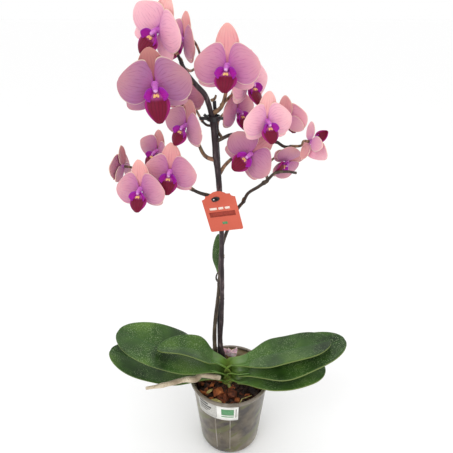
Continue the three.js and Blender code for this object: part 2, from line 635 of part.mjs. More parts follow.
function assemble() {
  const spikeA = spikeAGeometry();
  const spikeB = spikeBGeometry();
  const clearance = GAP + 0.2;
  const stemRoom = [
    toSolid(stalk(SPIKE_A_SHAFT, SPIKE_A_RADII.map((r) => r + clearance), 24)),
    toSolid(stalk(SPIKE_B_SHAFT, SPIKE_B_RADII.map((r) => r + clearance), 30)),
    toSolid(stickGeometry(clearance)),
  ];
  addPiece("pot", potGeometry(), COLOURS.pot, 0.35);
  addPiece("growing_medium", barkGeometry(), COLOURS.bark, 0.95);
  addPiece("pot_label", labelGeometry(), COLOURS.label, 0.5);
  for (const [name, centre, size, turn, lean] of CHIPS) {
    const chip = addPiece(name, chipGeometry(size), COLOURS.chip, 0.95);
    chip.position.set(...centre);
    chip.rotation.set(THREE.MathUtils.degToRad(lean), 0, THREE.MathUtils.degToRad(turn));
  }
  for (const root of WALL_ROOTS) {
    addPiece(root.name, wallRootGeometry(root), COLOURS.wallRoot, 0.8);
  }
  addPiece("crown", crownGeometry(), COLOURS.crown, 0.6);
  for (const leaf of LEAVES) {
    addPiece(leaf.name, leafGeometry(leaf, stemRoom), COLOURS.leaf, 0.45);
  }
  addPiece("aerial_root", stalk(AERIAL_ROOT_LINE, AERIAL_ROOT_RADII, 16, 6), COLOURS.root, 0.9);
  addPiece("spike_a", spikeA, COLOURS.spike, 0.7);
  addPiece("spike_b", spikeB, COLOURS.greenSpike, 0.7);
  addPiece("stem_leaf", stemLeafGeometry(), COLOURS.keiki, 0.45);
  addPiece("support_stick", stickGeometry(), COLOURS.stick, 0.4);
  addPiece("stick_clip", clipGeometry(), COLOURS.clip, 0.4);
  const tag = addPiece("gift_tag", tagGeometry(), COLOURS.tag, 0.6);
  tag.applyMatrix4(tagFrame());
  addPiece("tag_hook", tagHookGeometry(), COLOURS.clip, 0.4);
  addPiece("fallen_blossom", blossomGeometry(), COLOURS.blossom, 0.7);
  FLOWERS.forEach((flower, i) => {
    const number = String(i + 1).padStart(2, "0");
    const head = new THREE.Group();
    head.applyMatrix4(flowerFrame(flower));
    orchid.add(head);
    addPiece(`flower_${number}_petals`, tepalsGeometry(flower), COLOURS.petal, 0.6, head);
    addPiece(`flower_${number}_lip`, lipGeometry(flower), COLOURS.lip, 0.5, head);
  });
}

assemble();

export default orchid;
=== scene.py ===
import math
import random

import bmesh
import bpy
import numpy as np
from mathutils import Euler, Matrix, Vector, noise


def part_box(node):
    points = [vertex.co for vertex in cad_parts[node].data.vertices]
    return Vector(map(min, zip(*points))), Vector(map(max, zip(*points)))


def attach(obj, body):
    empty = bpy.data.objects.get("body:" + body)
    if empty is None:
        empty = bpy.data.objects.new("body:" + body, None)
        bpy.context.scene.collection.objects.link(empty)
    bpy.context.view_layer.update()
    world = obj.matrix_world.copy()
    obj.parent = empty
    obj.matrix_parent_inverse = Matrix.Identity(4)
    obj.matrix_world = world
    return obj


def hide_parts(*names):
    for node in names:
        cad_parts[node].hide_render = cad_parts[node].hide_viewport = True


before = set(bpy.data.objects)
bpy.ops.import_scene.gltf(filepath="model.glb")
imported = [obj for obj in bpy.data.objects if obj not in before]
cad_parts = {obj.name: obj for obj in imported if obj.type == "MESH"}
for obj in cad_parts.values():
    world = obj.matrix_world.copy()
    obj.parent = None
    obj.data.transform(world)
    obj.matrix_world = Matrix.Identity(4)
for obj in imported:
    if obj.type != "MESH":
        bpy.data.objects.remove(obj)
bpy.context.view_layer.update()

MM = 0.001

# Clear nursery pot
# A thin vacuum-formed cup of smoky clear plastic with a rolled rim, a rounded foot, two moulded
# ribs down the front and drainage holes in its floor. Scuffs and algae dull the wall.

POT_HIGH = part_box("pot")[1]
POT_HEIGHT = POT_HIGH.z / MM
POT_RIM_RADIUS = POT_HIGH.x / MM
POT_TOP_RADIUS = POT_RIM_RADIUS - 3
POT_BASE_RADIUS = 46
POT_FOOT_RADIUS = 36
POT_FOOT_ROUNDING = 11
POT_WALL = 1.2
POT_RIM_DEPTH = 4
POT_FLOOR_DISH = 1.4  # how far the middle of the floor stands up
POT_WALL_RINGS = (40, 80)  # heights of two rings of the wall between foot and rim
POT_STEPS = 96
POT_RIBS = (-24, 0)  # degrees round from the front
POT_RIB_HEIGHTS = (16, 88)
POT_RIB_RADII = (0.7, 0.5)
DRAIN_HOLES = 6
DRAIN_HOLE_RADIUS = 4.5
DRAIN_HOLE_CIRCLE = 24
DRAIN_DRILL_LENGTH = 10


def tone(red, green, blue):
    """A colour given on the usual 0 to 255 scale, as the linear colour that a shader takes."""
    scale = [value / 255 for value in (red, green, blue)]
    return [v / 12.92 if v <= 0.04045 else ((v + 0.055) / 1.055) ** 2.4 for v in scale] + [1]


class Finish:
    """One procedural material, with short names for the nodes that its pattern is made of."""

    def __init__(self, name, **own):
        self.material = bpy.data.materials.new(name)
        self.material.use_nodes = True
        self.tree = self.material.node_tree
        self.shader = self.tree.nodes["Principled BSDF"]
        for socket, value in own.items():
            self.shader.inputs[socket.replace("_", " ")].default_value = value
        self.coordinates = self.tree.nodes.new("ShaderNodeTexCoord")
        self.place = self.coordinates.outputs["Object"]
        self.surface = self.coordinates.outputs["UV"]

    def feed(self, value, socket):
        """Links an output to a socket, or sets a number or a colour on it."""
        if hasattr(value, "is_output"):
            self.tree.links.new(value, socket)
        else:
            socket.default_value = tone(*value) if isinstance(value, tuple) else value

    def math(self, operation, *values):
        made = self.tree.nodes.new("ShaderNodeMath")
        made.operation = operation
        for value, socket in zip(values, made.inputs):
            self.feed(value, socket)
        return made.outputs[0]

    def scaled(self, value, by, plus):
        return self.math("MULTIPLY_ADD", value, by, plus)

    def stretched(self, scale, source=None):
        made = self.tree.nodes.new("ShaderNodeMapping")
        made.inputs["Scale"].default_value = scale
        self.feed(source or self.place, made.inputs["Vector"])
        return made.outputs[0]

    def turned(self, rotation):
        made = self.tree.nodes.new("ShaderNodeMapping")
        made.inputs["Rotation"].default_value = rotation
        self.feed(self.place, made.inputs["Vector"])
        return made.outputs[0]

    def cloud(self, scale, detail=3, stretch=(1, 1, 1), source=None):
        made = self.tree.nodes.new("ShaderNodeTexNoise")
        made.inputs["Scale"].default_value = scale
        made.inputs["Detail"].default_value = detail
        self.feed(self.stretched(stretch, source), made.inputs["Vector"])
        return made.outputs["Fac"]

    def cells(self, scale, stretch=(1, 1, 1)):
        made = self.tree.nodes.new("ShaderNodeTexVoronoi")
        made.inputs["Scale"].default_value = scale
        self.feed(self.stretched(stretch), made.inputs["Vector"])
        return made.outputs["Distance"]

    def part(self, axis, source):
        made = self.tree.nodes.new("ShaderNodeSeparateXYZ")
        self.feed(source, made.inputs[0])
        return made.outputs[axis]

    def off_midline(self):
        """How far across a blade, from 0 on its midline to 1 at either edge."""
        return self.math("ABSOLUTE", self.scaled(self.part("X", self.surface), 2, -1))

    def ramp(self, value, *stops):
        made = self.tree.nodes.new("ShaderNodeValToRGB")
        self.feed(value, made.inputs[0])
        band = made.color_ramp
        while len(band.elements) < len(stops):
            band.elements.new(1)
        for element, (position, colour) in zip(band.elements, stops):
            element.position = position
            element.color = tone(*colour)
        return made.outputs[0]

    def fade(self, value, low, high):
        """0 below low, 1 above high and smooth between; it falls where low is the greater."""
        made = self.tree.nodes.new("ShaderNodeMapRange")
        made.interpolation_type = "SMOOTHSTEP"
        self.feed(value, made.inputs["Value"])
        made.inputs["From Min"].default_value = min(low, high)
        made.inputs["From Max"].default_value = max(low, high)
        made.inputs["To Min"].default_value = 0 if low < high else 1
        made.inputs["To Max"].default_value = 1 if low < high else 0
        return made.outputs[0]

    def mixed(self, share, first, second):
        made = self.tree.nodes.new("ShaderNodeMix")
        made.data_type = "RGBA"
        self.feed(share, made.inputs["Factor"])
        self.feed(first, made.inputs[6])
        self.feed(second, made.inputs[7])
        return made.outputs[2]

    def done(self, colour, rough=None, height=None, depth=0.0003, strength=0.5):
        self.feed(colour, self.shader.inputs["Base Color"])
        if rough is not None:
            self.feed(rough, self.shader.inputs["Roughness"])
        if height is not None:
            bump = self.tree.nodes.new("ShaderNodeBump")
            bump.inputs["Strength"].default_value = strength
            bump.inputs["Distance"].default_value = depth
            self.feed(height, bump.inputs["Height"])
            self.feed(bump.outputs[0], self.shader.inputs["Normal"])
        return self.material


def finish_piece(bm, name, finishes, nodes, wall=0, rounds=0):
    """Makes a bmesh an object that rides on the plant and stands for its CAD nodes."""
    mesh = bpy.data.meshes.new(name)
    bm.to_mesh(mesh)
    bm.free()
    return place_piece(mesh, name, finishes, nodes, wall, rounds)


def place_piece(mesh, name, finishes, nodes, wall=0, rounds=0):
    piece = bpy.data.objects.new(name, mesh)
    bpy.context.scene.collection.objects.link(piece)
    for finish in finishes:
        mesh.materials.append(finish)
    mesh.shade_smooth()
    if wall:
        thick = piece.modifiers.new("wall", "SOLIDIFY")
        thick.thickness = wall * MM
        thick.offset = 0
    if rounds:
        smooth = piece.modifiers.new("rounding", "SUBSURF")
        smooth.levels = rounds
        smooth.render_levels = rounds
    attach(piece, "root")
    if nodes:
        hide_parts(*nodes)
    return piece


def spun(profile, steps):
    """A closed turned body from a profile of (radius, height) in millimetres about +Z."""
    bm = bmesh.new()
    line = [bm.verts.new((radius * MM, 0, height * MM)) for radius, height in profile]
    edges = [bm.edges.new(pair) for pair in zip(line, line[1:])]
    bmesh.ops.spin(
        bm, geom=line + edges, axis=(0, 0, 1), cent=(0, 0, 0), angle=2 * math.pi, steps=steps,
        use_merge=True,
    )
    bmesh.ops.remove_doubles(bm, verts=bm.verts, dist=0.01 * MM)
    bmesh.ops.recalc_face_normals(bm, faces=bm.faces)
    return bm


def cut_away(body, cutter):
    """The mesh that is left of one bmesh once another is taken out of it."""
    holders = []
    for bm in (body, cutter):
        mesh = bpy.data.meshes.new("solid")
        bm.to_mesh(mesh)
        bm.free()
        holders.append(bpy.data.objects.new("solid", mesh))
        bpy.context.scene.collection.objects.link(holders[-1])
    cut = holders[0].modifiers.new("cut", "BOOLEAN")
    cut.operation = "DIFFERENCE"
    cut.object = holders[1]
    bpy.context.view_layer.update()
    left = holders[0].evaluated_get(bpy.context.evaluated_depsgraph_get())
    mesh = bpy.data.meshes.new_from_object(left)
    for holder in holders:
        bpy.data.objects.remove(holder)
    return mesh


def pot_radius(height):
    rise = (height - POT_FOOT_ROUNDING) / (POT_HEIGHT - POT_FOOT_ROUNDING)
    return POT_BASE_RADIUS + rise * (POT_TOP_RADIUS - POT_BASE_RADIUS)


def on_wall(degrees, radius, height):
    """A place on the pot's wall; 0 degrees is the front and positive turns to the right."""
    angle = math.radians(degrees)
    return Vector((radius * math.sin(angle), -radius * math.cos(angle), height)) * MM


def foot_curve(inset):
    points = []
    for share in (0, 0.2, 0.4, 0.6, 0.8, 1):
        angle = share * math.pi / 2
        points.append((
            POT_FOOT_RADIUS + (POT_BASE_RADIUS - POT_FOOT_RADIUS - inset) * math.sin(angle),
            POT_FOOT_ROUNDING - (POT_FOOT_ROUNDING - inset) * math.cos(angle),
        ))
    return points


rim_bottom = POT_HEIGHT - POT_RIM_DEPTH
outer_rings = [(pot_radius(height), height) for height in POT_WALL_RINGS]
inner_rings = [(radius - POT_WALL, height) for radius, height in reversed(outer_rings)]
pot_profile = [
    (0, POT_FLOOR_DISH), (POT_FOOT_RADIUS - 3, 0.6), *foot_curve(0), *outer_rings,
    (pot_radius(rim_bottom) - 0.2, rim_bottom - 2), (pot_radius(rim_bottom), rim_bottom - 0.6),
    (POT_RIM_RADIUS - 1, rim_bottom - 0.2), (POT_RIM_RADIUS, rim_bottom + 0.8),
    (POT_RIM_RADIUS, POT_HEIGHT - 1), (POT_RIM_RADIUS - 0.9, POT_HEIGHT),
    (POT_TOP_RADIUS - 0.4, POT_HEIGHT - 0.1), (POT_TOP_RADIUS - POT_WALL, POT_HEIGHT - 0.9),
    *inner_rings, *reversed(foot_curve(POT_WALL)), (0, POT_FLOOR_DISH + POT_WALL),
]
pot_mesh = spun(pot_profile, POT_STEPS)
drills = bmesh.new()
for i in range(DRAIN_HOLES):
    angle = 2 * math.pi * i / DRAIN_HOLES
    centre = Vector((math.cos(angle), math.sin(angle), 0)) * DRAIN_HOLE_CIRCLE
    bmesh.ops.create_cone(
        drills, cap_ends=True, segments=24, radius1=DRAIN_HOLE_RADIUS * MM,
        radius2=DRAIN_HOLE_RADIUS * MM, depth=DRAIN_DRILL_LENGTH * MM,
        matrix=Matrix.Translation(centre * MM),
    )

smoky_plastic = Finish(
    "smoky_clear_plastic", Transmission_Weight=0.62, IOR=1.45, Specular_IOR_Level=0.5,
    Coat_Weight=0.3, Coat_Roughness=0.15,
)
murk = smoky_plastic.cloud(34, 6)
algae = smoky_plastic.cloud(20, 4, (1, 1, 3), smoky_plastic.turned((0, 0.7, 0)))
scuffs = smoky_plastic.cloud(160, 4, (1, 1, 0.12))
haze = smoky_plastic.ramp(
    murk, (0.36, (62, 46, 32)), (0.5, (116, 98, 68)), (0.6, (146, 130, 98)),
    (0.72, (176, 164, 134)),
)
olive = smoky_plastic.mixed(smoky_plastic.fade(algae, 0.5, 0.62), haze, (120, 118, 50))
smoky_plastic.done(
    olive, rough=smoky_plastic.scaled(scuffs, 0.3, 0.18), height=murk, depth=0.0006,
    strength=0.35,
)
place_piece(
    cut_away(pot_mesh, drills), "pot_wall", [smoky_plastic.material], ["pot"],
)

# the rolled rim is thicker, so it looks pale; its skin stands a hair proud of the wall's
RIM_PROUD = 0.15
rim_inside = POT_TOP_RADIUS - POT_WALL - 0.2
rim_mesh = spun([
    (rim_inside, rim_bottom - 0.5), (POT_RIM_RADIUS - 1, rim_bottom - 0.5),
    (POT_RIM_RADIUS + RIM_PROUD, rim_bottom + 0.7), (POT_RIM_RADIUS + RIM_PROUD, POT_HEIGHT - 0.9),
    (POT_RIM_RADIUS - 1, POT_HEIGHT + RIM_PROUD), (POT_TOP_RADIUS - 0.8, POT_HEIGHT + 0.1),
    (rim_inside, POT_HEIGHT - 0.8), (rim_inside, rim_bottom - 0.5),
], POT_STEPS)
rim_plastic = Finish("rolled_rim_plastic", Transmission_Weight=0.25, IOR=1.45, Coat_Weight=0.4)
grime = rim_plastic.cloud(70, 4)
rim_plastic.done(
    rim_plastic.ramp(grime, (0.3, (118, 106, 92)), (0.6, (140, 129, 114)), (0.8, (166, 158, 148))),
    rough=rim_plastic.scaled(grime, 0.3, 0.15), height=grime, depth=0.0003,
)
finish_piece(rim_mesh, "pot_rim", [rim_plastic.material], ["pot"])

# two moulded ribs run down the front of the wall
rib_mesh = bmesh.new()
for degrees in POT_RIBS:
    low, high = POT_RIB_HEIGHTS
    bottom = on_wall(degrees, pot_radius(low), low)
    top = on_wall(degrees, pot_radius(high), high)
    lean = (top - bottom).to_track_quat("Z", "Y")
    length = (top - bottom).length
    bmesh.ops.create_cone(
        rib_mesh, cap_ends=True, segments=10, radius1=POT_RIB_RADII[0] * MM,
        radius2=POT_RIB_RADII[1] * MM, depth=length,
        matrix=Matrix.LocRotScale((top + bottom) / 2, lean, None),
    )
rib_plastic = Finish("moulded_rib_plastic", Transmission_Weight=0.2, IOR=1.45)
scratch = rib_plastic.cloud(120, 4, (1, 1, 0.4))
rib_plastic.done(
    rib_plastic.ramp(scratch, (0.35, (142, 130, 112)), (0.6, (188, 180, 168))),
    rough=rib_plastic.scaled(scratch, 0.3, 0.2), height=scratch, depth=0.0002,
)
finish_piece(rib_mesh, "pot_ribs", [rib_plastic.material], ["pot"])

# Bark medium
# Packed chips of pine bark fill the pot to a finger's width below the rim. Damp dark pieces lie
# against the wall, and dry rust and orange chips, a dead leaf and straw lie on top.

random.seed(378)
MEDIUM_TOP = 106
MEDIUM_STEPS = 60
MEDIUM_FLANK = range(26, 99, 12)  # heights of the rings up its side
BARK_CLEARANCE = 2.2
MOUND = 2.5  # how far the loose chips are heaped over the medium in the middle
MOUND_FALL = 3.5  # how much lower they lie out at the wall
CHIP_KINDS = (0, 1, 2)  # damp, rust and orange
CHIP_UNEVEN = 0.22  # how much a chip's corners wander, as a part of its size
CHIP_SKEW = 0.12
TOP_CHIPS = 230
TOP_CHIP_REACH = 48
TOP_CHIP_SIZES = ((5, 13), (4, 8), (1.6, 4))
TOP_CHIP_SHARES = (10, 8, 4)  # how many are damp, rust and orange
WALL_CHIPS = 260
WALL_CHIP_HEIGHTS = (9, 101)
WALL_CHIP_SIZES = ((6, 15), (1.4, 2), (4, 11))
WALL_CHIP_SHARES = (10, 5, 1)


def bark_radius(height):
    return pot_radius(height) - POT_WALL - BARK_CLEARANCE


def bark_finish(name, dark, middle, pale):
    bark = Finish(name, Specular_IOR_Level=0.3)
    fibre = bark.cloud(240, 5, (1, 1, 3))
    patch = bark.cloud(75, 4)
    grain = bark.ramp(fibre, (0.3, dark), (0.55, middle), (0.8, pale))
    worn = bark.mixed(bark.fade(patch, 0.42, 0.62), grain, dark)
    flaky = bark.math("ADD", fibre, bark.cells(330, (1, 1, 2.5)))
    return bark.done(
        worn, rough=bark.scaled(patch, 0.4, 0.5), height=flaky, depth=0.0008, strength=0.8,
    )


damp_bark = bark_finish("damp_bark", (34, 22, 18), (62, 40, 30), (96, 66, 46))
rust_bark = bark_finish("rust_bark", (66, 32, 20), (118, 62, 36), (160, 96, 58))
orange_bark = bark_finish("orange_bark", (126, 66, 34), (176, 100, 52), (206, 140, 84))

bed_mesh = spun([
    (0, 3.2), (POT_FOOT_RADIUS - 2, 3.4), (POT_FOOT_RADIUS + 4, 6), (bark_radius(14), 15),
    *((bark_radius(height), height) for height in MEDIUM_FLANK),
    (bark_radius(MEDIUM_TOP - 2) - 2, MEDIUM_TOP - 2), (40, MEDIUM_TOP), (26, MEDIUM_TOP + 1),
    (12, MEDIUM_TOP + 2), (0, MEDIUM_TOP + 2),
], MEDIUM_STEPS)
for vert in bed_mesh.verts:
    lump = noise.noise(vert.co * 110) * 2.4 * MM
    vert.co -= Vector((vert.co.x, vert.co.y, 0)).normalized() * abs(lump)
    if vert.co.z > (MEDIUM_TOP - 6) * MM:
        vert.co.z += lump
finish_piece(bed_mesh, "bark_bed", [damp_bark], ["growing_medium"], rounds=1)


def add_chip(bm, centre, size, turn):
    """One split chip: a box with a bevelled, uneven outline."""
    made = bmesh.ops.create_cube(bm, size=1)
    for vert in made["verts"]:
        vert.co *= 1 + random.uniform(-CHIP_UNEVEN, CHIP_UNEVEN)
        vert.co.x += random.uniform(-CHIP_SKEW, CHIP_SKEW)
    place = Matrix.LocRotScale(centre, turn, Vector(size) * MM)
    bmesh.ops.transform(bm, matrix=place, verts=made["verts"])


def chips_piece(bm, name, finish, nodes):
    bmesh.ops.bevel(
        bm, geom=bm.edges[:], offset=0.5 * MM, segments=1, profile=0.5, affect="EDGES", material=-1,
        clamp_overlap=True,
    )
    bmesh.ops.recalc_face_normals(bm, faces=bm.faces)
    return finish_piece(bm, name, [finish], nodes)


chip_meshes = [bmesh.new() for kind in CHIP_KINDS]
for i in range(TOP_CHIPS):
    angle = random.uniform(0, 2 * math.pi)
    reach = TOP_CHIP_REACH * math.sqrt(random.uniform(0.02, 1))
    height = MEDIUM_TOP + MOUND - MOUND_FALL * (reach / 50) ** 2 + random.uniform(-1, 2.5)
    centre = Vector((reach * math.cos(angle), reach * math.sin(angle), height)) * MM
    size = [random.uniform(*limits) for limits in TOP_CHIP_SIZES]
    turn = Euler((random.uniform(-0.5, 0.5), random.uniform(-0.5, 0.5), random.uniform(0, 6.3)))
    kind = random.choices(CHIP_KINDS, TOP_CHIP_SHARES)[0]
    add_chip(chip_meshes[kind], centre, size, turn)
for i in range(WALL_CHIPS):
    degrees = random.uniform(0, 360)
    height = random.uniform(*WALL_CHIP_HEIGHTS)
    centre = on_wall(degrees, bark_radius(height) + 0.2, height)
    size = [random.uniform(*limits) for limits in WALL_CHIP_SIZES]
    turn = Euler((0, random.uniform(-0.8, 0.8), 0)).to_matrix()
    turn = (Matrix.Rotation(math.radians(degrees), 3, "Z") @ turn).to_euler()
    kind = random.choices(CHIP_KINDS, WALL_CHIP_SHARES)[0]
    add_chip(chip_meshes[kind], centre, size, turn)
for bm, name, finish in zip(
    chip_meshes, ("chips_damp", "chips_rust", "chips_orange"), (damp_bark, rust_bark, orange_bark),
):
    chips_piece(bm, name, finish, ["growing_medium"])

# the larger loose chips on top: size, turn in degrees and finish
LOOSE_CHIPS = {
    "bark_chip_left": ((15, 10, 5), 25, orange_bark),
    "bark_chip_centre": ((12, 11, 8), -20, rust_bark),
    "bark_chip_right": ((19, 8, 4.5), -50, damp_bark),
    "bark_chip_back": ((17, 10, 4.5), 15, orange_bark),
}
for node, (size, degrees, finish) in LOOSE_CHIPS.items():
    low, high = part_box(node)
    bm = bmesh.new()
    add_chip(bm, (low + high) / 2, size, Euler((0.18, -0.12, math.radians(degrees))))
    chips_piece(bm, node + "_split", finish, [node])

# a dead leaf and straws that lie on the bark
litter_skin = Finish("dry_litter", Specular_IOR_Level=0.3)
litter_grain = litter_skin.cloud(160, 4, (1, 3, 1))
litter_skin.done(
    litter_skin.ramp(
        litter_grain, (0.35, (134, 116, 62)), (0.5, (176, 164, 98)), (0.7, (204, 192, 136)),
    ),
    rough=litter_skin.scaled(litter_grain, 0.3, 0.5), height=litter_grain, depth=0.0004,
)
# centre, length, width and turn in degrees about the upright
LITTER = (
    ((-20, -42, 111.5), 19, 10, -28), ((14, -44, 112.5), 20, 1.4, 62), ((24, -34, 112.5), 17, 1.2, 20),
    ((-30, -22, 111.5), 12, 5, 40), ((-6, -50, 109.5), 13, 1.2, -8),
)
litter_mesh = bmesh.new()
for centre, length, width, degrees in LITTER:
    made = bmesh.ops.create_uvsphere(litter_mesh, u_segments=16, v_segments=8, radius=0.5)
    turn = Euler((0.15, -0.08, math.radians(degrees)))
    place = Matrix.LocRotScale(Vector(centre) * MM, turn, Vector((length, width, 1)) * MM)
    bmesh.ops.transform(litter_mesh, matrix=place, verts=made["verts"])
    for vert in made["verts"]:
        vert.co.z += 1.4 * MM * noise.noise(vert.co * 160)
finish_piece(litter_mesh, "dry_litter", [litter_skin.material], ["growing_medium"])

# Roots
# Fleshy orchid roots: olive ones press on the inside of the pot's wall, and one silvery dry
# root leaves the crown and lies over the rim. Each is one grown strand that thins to its tip.


def smooth_run(points, count):
    """Evenly spaced places, in metres, on a smooth line through points given in millimetres."""
    knots = np.array(points, float) * MM
    gaps = np.linalg.norm(np.diff(knots, axis=0), axis=1)
    along = np.concatenate([[0], np.cumsum(gaps)])
    slopes = np.gradient(knots, along, axis=0)
    where = np.linspace(0, along[-1], count)
    i = np.clip(np.searchsorted(along, where, side="right") - 1, 0, len(gaps) - 1)
    gap = gaps[i][:, None]
    t = (where[:, None] - along[i][:, None]) / gap
    line = knots[i] * (1 + 2 * t) * (1 - t) ** 2 + slopes[i] * gap * t * (1 - t) ** 2
    line += knots[i + 1] * t * t * (3 - 2 * t) + slopes[i + 1] * gap * t * t * (t - 1)
    return [Vector(place) for place in line]


def stem_mesh(name, runs, voxel=0, unevenness=0):
    """One mesh of round strands. Each run is its points and the radii read evenly along it, all
    in millimetres. A voxel size fuses the strands where they meet."""
    strands = bpy.data.curves.new(name, "CURVE")
    strands.dimensions = "3D"
    strands.bevel_depth = MM
    strands.bevel_resolution = 3
    strands.use_fill_caps = True
    for points, radii in runs:
        length = sum(math.dist(a, b) for a, b in zip(points, points[1:]))
        count = max(8, int(length / 2.5))
        strand = strands.splines.new("POLY")
        strand.points.add(count - 1)
        for i, (point, place) in enumerate(zip(strand.points, smooth_run(points, count))):
            radius = np.interp(i / (count - 1), np.linspace(0, 1, len(radii)), radii)
            radius *= 1 + unevenness * noise.noise(place * 90)
            point.co = (*place, 1)
            point.radius = radius
    holder = bpy.data.objects.new(name, strands)
    bpy.context.scene.collection.objects.link(holder)
    mesh = bpy.data.meshes.new_from_object(holder)
    bpy.data.objects.remove(holder)
    bpy.data.curves.remove(strands)
    if voxel:
        loose = bpy.data.objects.new(name, mesh)
        bpy.context.scene.collection.objects.link(loose)
        fuse = loose.modifiers.new("fuse", "REMESH")
        fuse.mode = "VOXEL"
        fuse.voxel_size = voxel * MM
        ease = loose.modifiers.new("ease", "SMOOTH")
        ease.factor = 0.5
        ease.iterations = 3
        bpy.context.view_layer.update()
        fused = loose.evaluated_get(bpy.context.evaluated_depsgraph_get())
        mesh = bpy.data.meshes.new_from_object(fused)
        bpy.data.objects.remove(loose)
    return mesh


def root_finish(name, dark, middle, pale):
    skin = Finish(name, Specular_IOR_Level=0.35, Sheen_Weight=0.2)
    band = skin.cloud(60, 5)
    fleck = skin.cloud(420, 3)
    colour = skin.ramp(band, (0.32, dark), (0.5, middle), (0.7, pale))
    flecked = skin.mixed(skin.fade(fleck, 0.56, 0.7), colour, dark)
    return skin.done(
        flecked, rough=skin.scaled(band, 0.3, 0.5), height=fleck, depth=0.0004, strength=0.6,
    )


silver_root = root_finish("silver_root_skin", (150, 132, 108), (198, 182, 156), (226, 214, 192))
olive_root = root_finish("olive_root_skin", (74, 78, 34), (122, 130, 60), (158, 164, 92))
# each stout root's places round the wall in degrees from the front, and their heights
WALL_ROOTS = {
    "pot_root_left": ((-62, -40, -28, -6, 14), (98, 76, 58, 40, 22)),
    "pot_root_right": ((72, 50, 40, 24, 30), (94, 78, 60, 42, 24)),
}
WALL_ROOT_RADII = (1.2, 2.2, 2, 1.5, 0.6)
FINE_ROOTS = (-52, 4, 58, 110, 150, 190, 240, 285)  # degrees round from the front
FINE_ROOT_RADII = (0.7, 1.5, 1.2, 0.5)
FINE_ROOT_END = 18


def inside_wall(degrees, height, depth):
    """A place in millimetres at a depth inside the inner face of the pot's wall."""
    return on_wall(degrees, pot_radius(height) - POT_WALL - depth, height) / MM


for node, (turns, heights) in WALL_ROOTS.items():
    line = [inside_wall(turn, height, 1.7) for turn, height in zip(turns, heights)]
    mesh = stem_mesh(node, [(line, WALL_ROOT_RADII)], unevenness=0.25)
    place_piece(mesh, node + "_strand", [olive_root], [node])

fine_roots = []
for degrees in FINE_ROOTS:
    height = random.uniform(88, 98)
    line = []
    while height > FINE_ROOT_END:
        line.append(inside_wall(degrees, height, 1.3))
        degrees += random.uniform(-11, 13)
        height -= random.uniform(9, 15)
    fine_roots.append((line, FINE_ROOT_RADII))
fine_root_mesh = stem_mesh("wall_roots", fine_roots, unevenness=0.3)
place_piece(fine_root_mesh, "wall_root_strands", [olive_root], ["growing_medium"])

AERIAL_ROOT = [
    (-15, -12.5, 128), (-25, -15, 133), (-33.5, -17, 137), (-42.5, -20, 141.4), (-48.5, -27, 141),
    (-62, -33, 146.5), (-84, -39, 145), (-104, -41, 141), (-118.5, -41, 138),
]
AERIAL_BUD = [(-46, -23, 141), (-50, -26, 144), (-53, -27, 146.5)]
aerial_mesh = stem_mesh("aerial", [
    (AERIAL_ROOT, (4, 4.4, 4.2, 4.6, 3.8, 3.6, 3.1, 2)), (AERIAL_BUD, (1.6, 1.3, 0.8)),
], voxel=0.6, unevenness=0.25)
place_piece(aerial_mesh, "aerial_root_strand", [silver_root], ["aerial_root"])

# Label
# A white paper sticker wrapped round the upper left of the pot's front, left without lettering:
# plain rules and a green field stand where print would be.

LABEL_FACING = -21
LABEL_WIDTH_ANGLE = 66
LABEL_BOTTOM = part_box("pot_label")[0].z / MM
LABEL_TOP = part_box("pot_label")[1].z / MM
LABEL_THICKNESS = 0.3
INK_THICKNESS = 0.06
LABEL_LIFT = 0.5  # from the pot's wall to the middle of the paper
PANEL_LIFT = 0.66
BAR_LIFT = 0.72
# The third ink greys a panel over the label's left half: partly the label's own see-through grey part,
# partly painted shade on the paper.
GREEN, GREY, PANEL_GREY_AND_SHADE = range(3)
# left, right, bottom and top, as parts of the label's width and height
LABEL_PANEL = (0.015, 0.49, 0.03, 0.97)
LABEL_BARS = (
    (0.62, 0.9, 0.36, 0.78, GREEN), (0.62, 0.9, 0.22, 0.29, GREEN),
    (0.06, 0.3, 0.74, 0.85, GREY), (0.06, 0.38, 0.56, 0.67, GREY),
    (0.06, 0.34, 0.42, 0.49, GREY), (0.06, 0.28, 0.3, 0.35, GREY),
    (0.94, 0.955, 0.2, 0.8, GREY), (0.5, 0.508, 0.08, 0.92, GREY),
)


def add_blade(bm, surface, across, along, finish=0):
    """A grid bent onto surface(side, reach): side runs from -1 to 1 across and reach from 0 at
    the base to 1 at the tip. Its UV map keeps side and reach for the veins and the margin."""
    made = bmesh.ops.create_grid(bm, x_segments=across, y_segments=along, size=1, calc_uvs=True)
    for vert in made["verts"]:
        vert.co = surface(vert.co.x, (vert.co.y + 1) / 2)
    for face in {face for vert in made["verts"] for face in vert.link_faces}:
        face.material_index = finish


def blade_mesh():
    bm = bmesh.new()
    bm.loops.layers.uv.new("side_and_reach")
    return bm


def label_patch(left, right, bottom, top, lift):
    """A patch of the label: left to right is 0 to 1 across it and bottom to top 0 to 1 up it."""
    def surface(side, reach):
        share = left + (right - left) * (side + 1) / 2
        height = LABEL_BOTTOM + (LABEL_TOP - LABEL_BOTTOM) * (bottom + (top - bottom) * reach)
        degrees = LABEL_FACING + (share - 0.5) * LABEL_WIDTH_ANGLE
        return on_wall(degrees, pot_radius(height) + lift, height)
    return surface


label_mesh = blade_mesh()
add_blade(label_mesh, label_patch(0, 1, 0, 1, LABEL_LIFT), 40, 6)
label_paper = Finish("sticker_paper", Specular_IOR_Level=0.4, Coat_Weight=0.25, Coat_Roughness=0.3)
crease = label_paper.cloud(60, 4)
label_paper.done(
    label_paper.ramp(
        crease, (0.3, (204, 202, 192)), (0.5, (232, 231, 225)), (0.7, (242, 241, 237)),
    ),
    rough=label_paper.scaled(crease, 0.25, 0.35), height=crease, depth=0.0004, strength=0.3,
)
finish_piece(
    label_mesh, "label_sheet", [label_paper.material], ["pot_label"],
    wall=LABEL_THICKNESS,
)


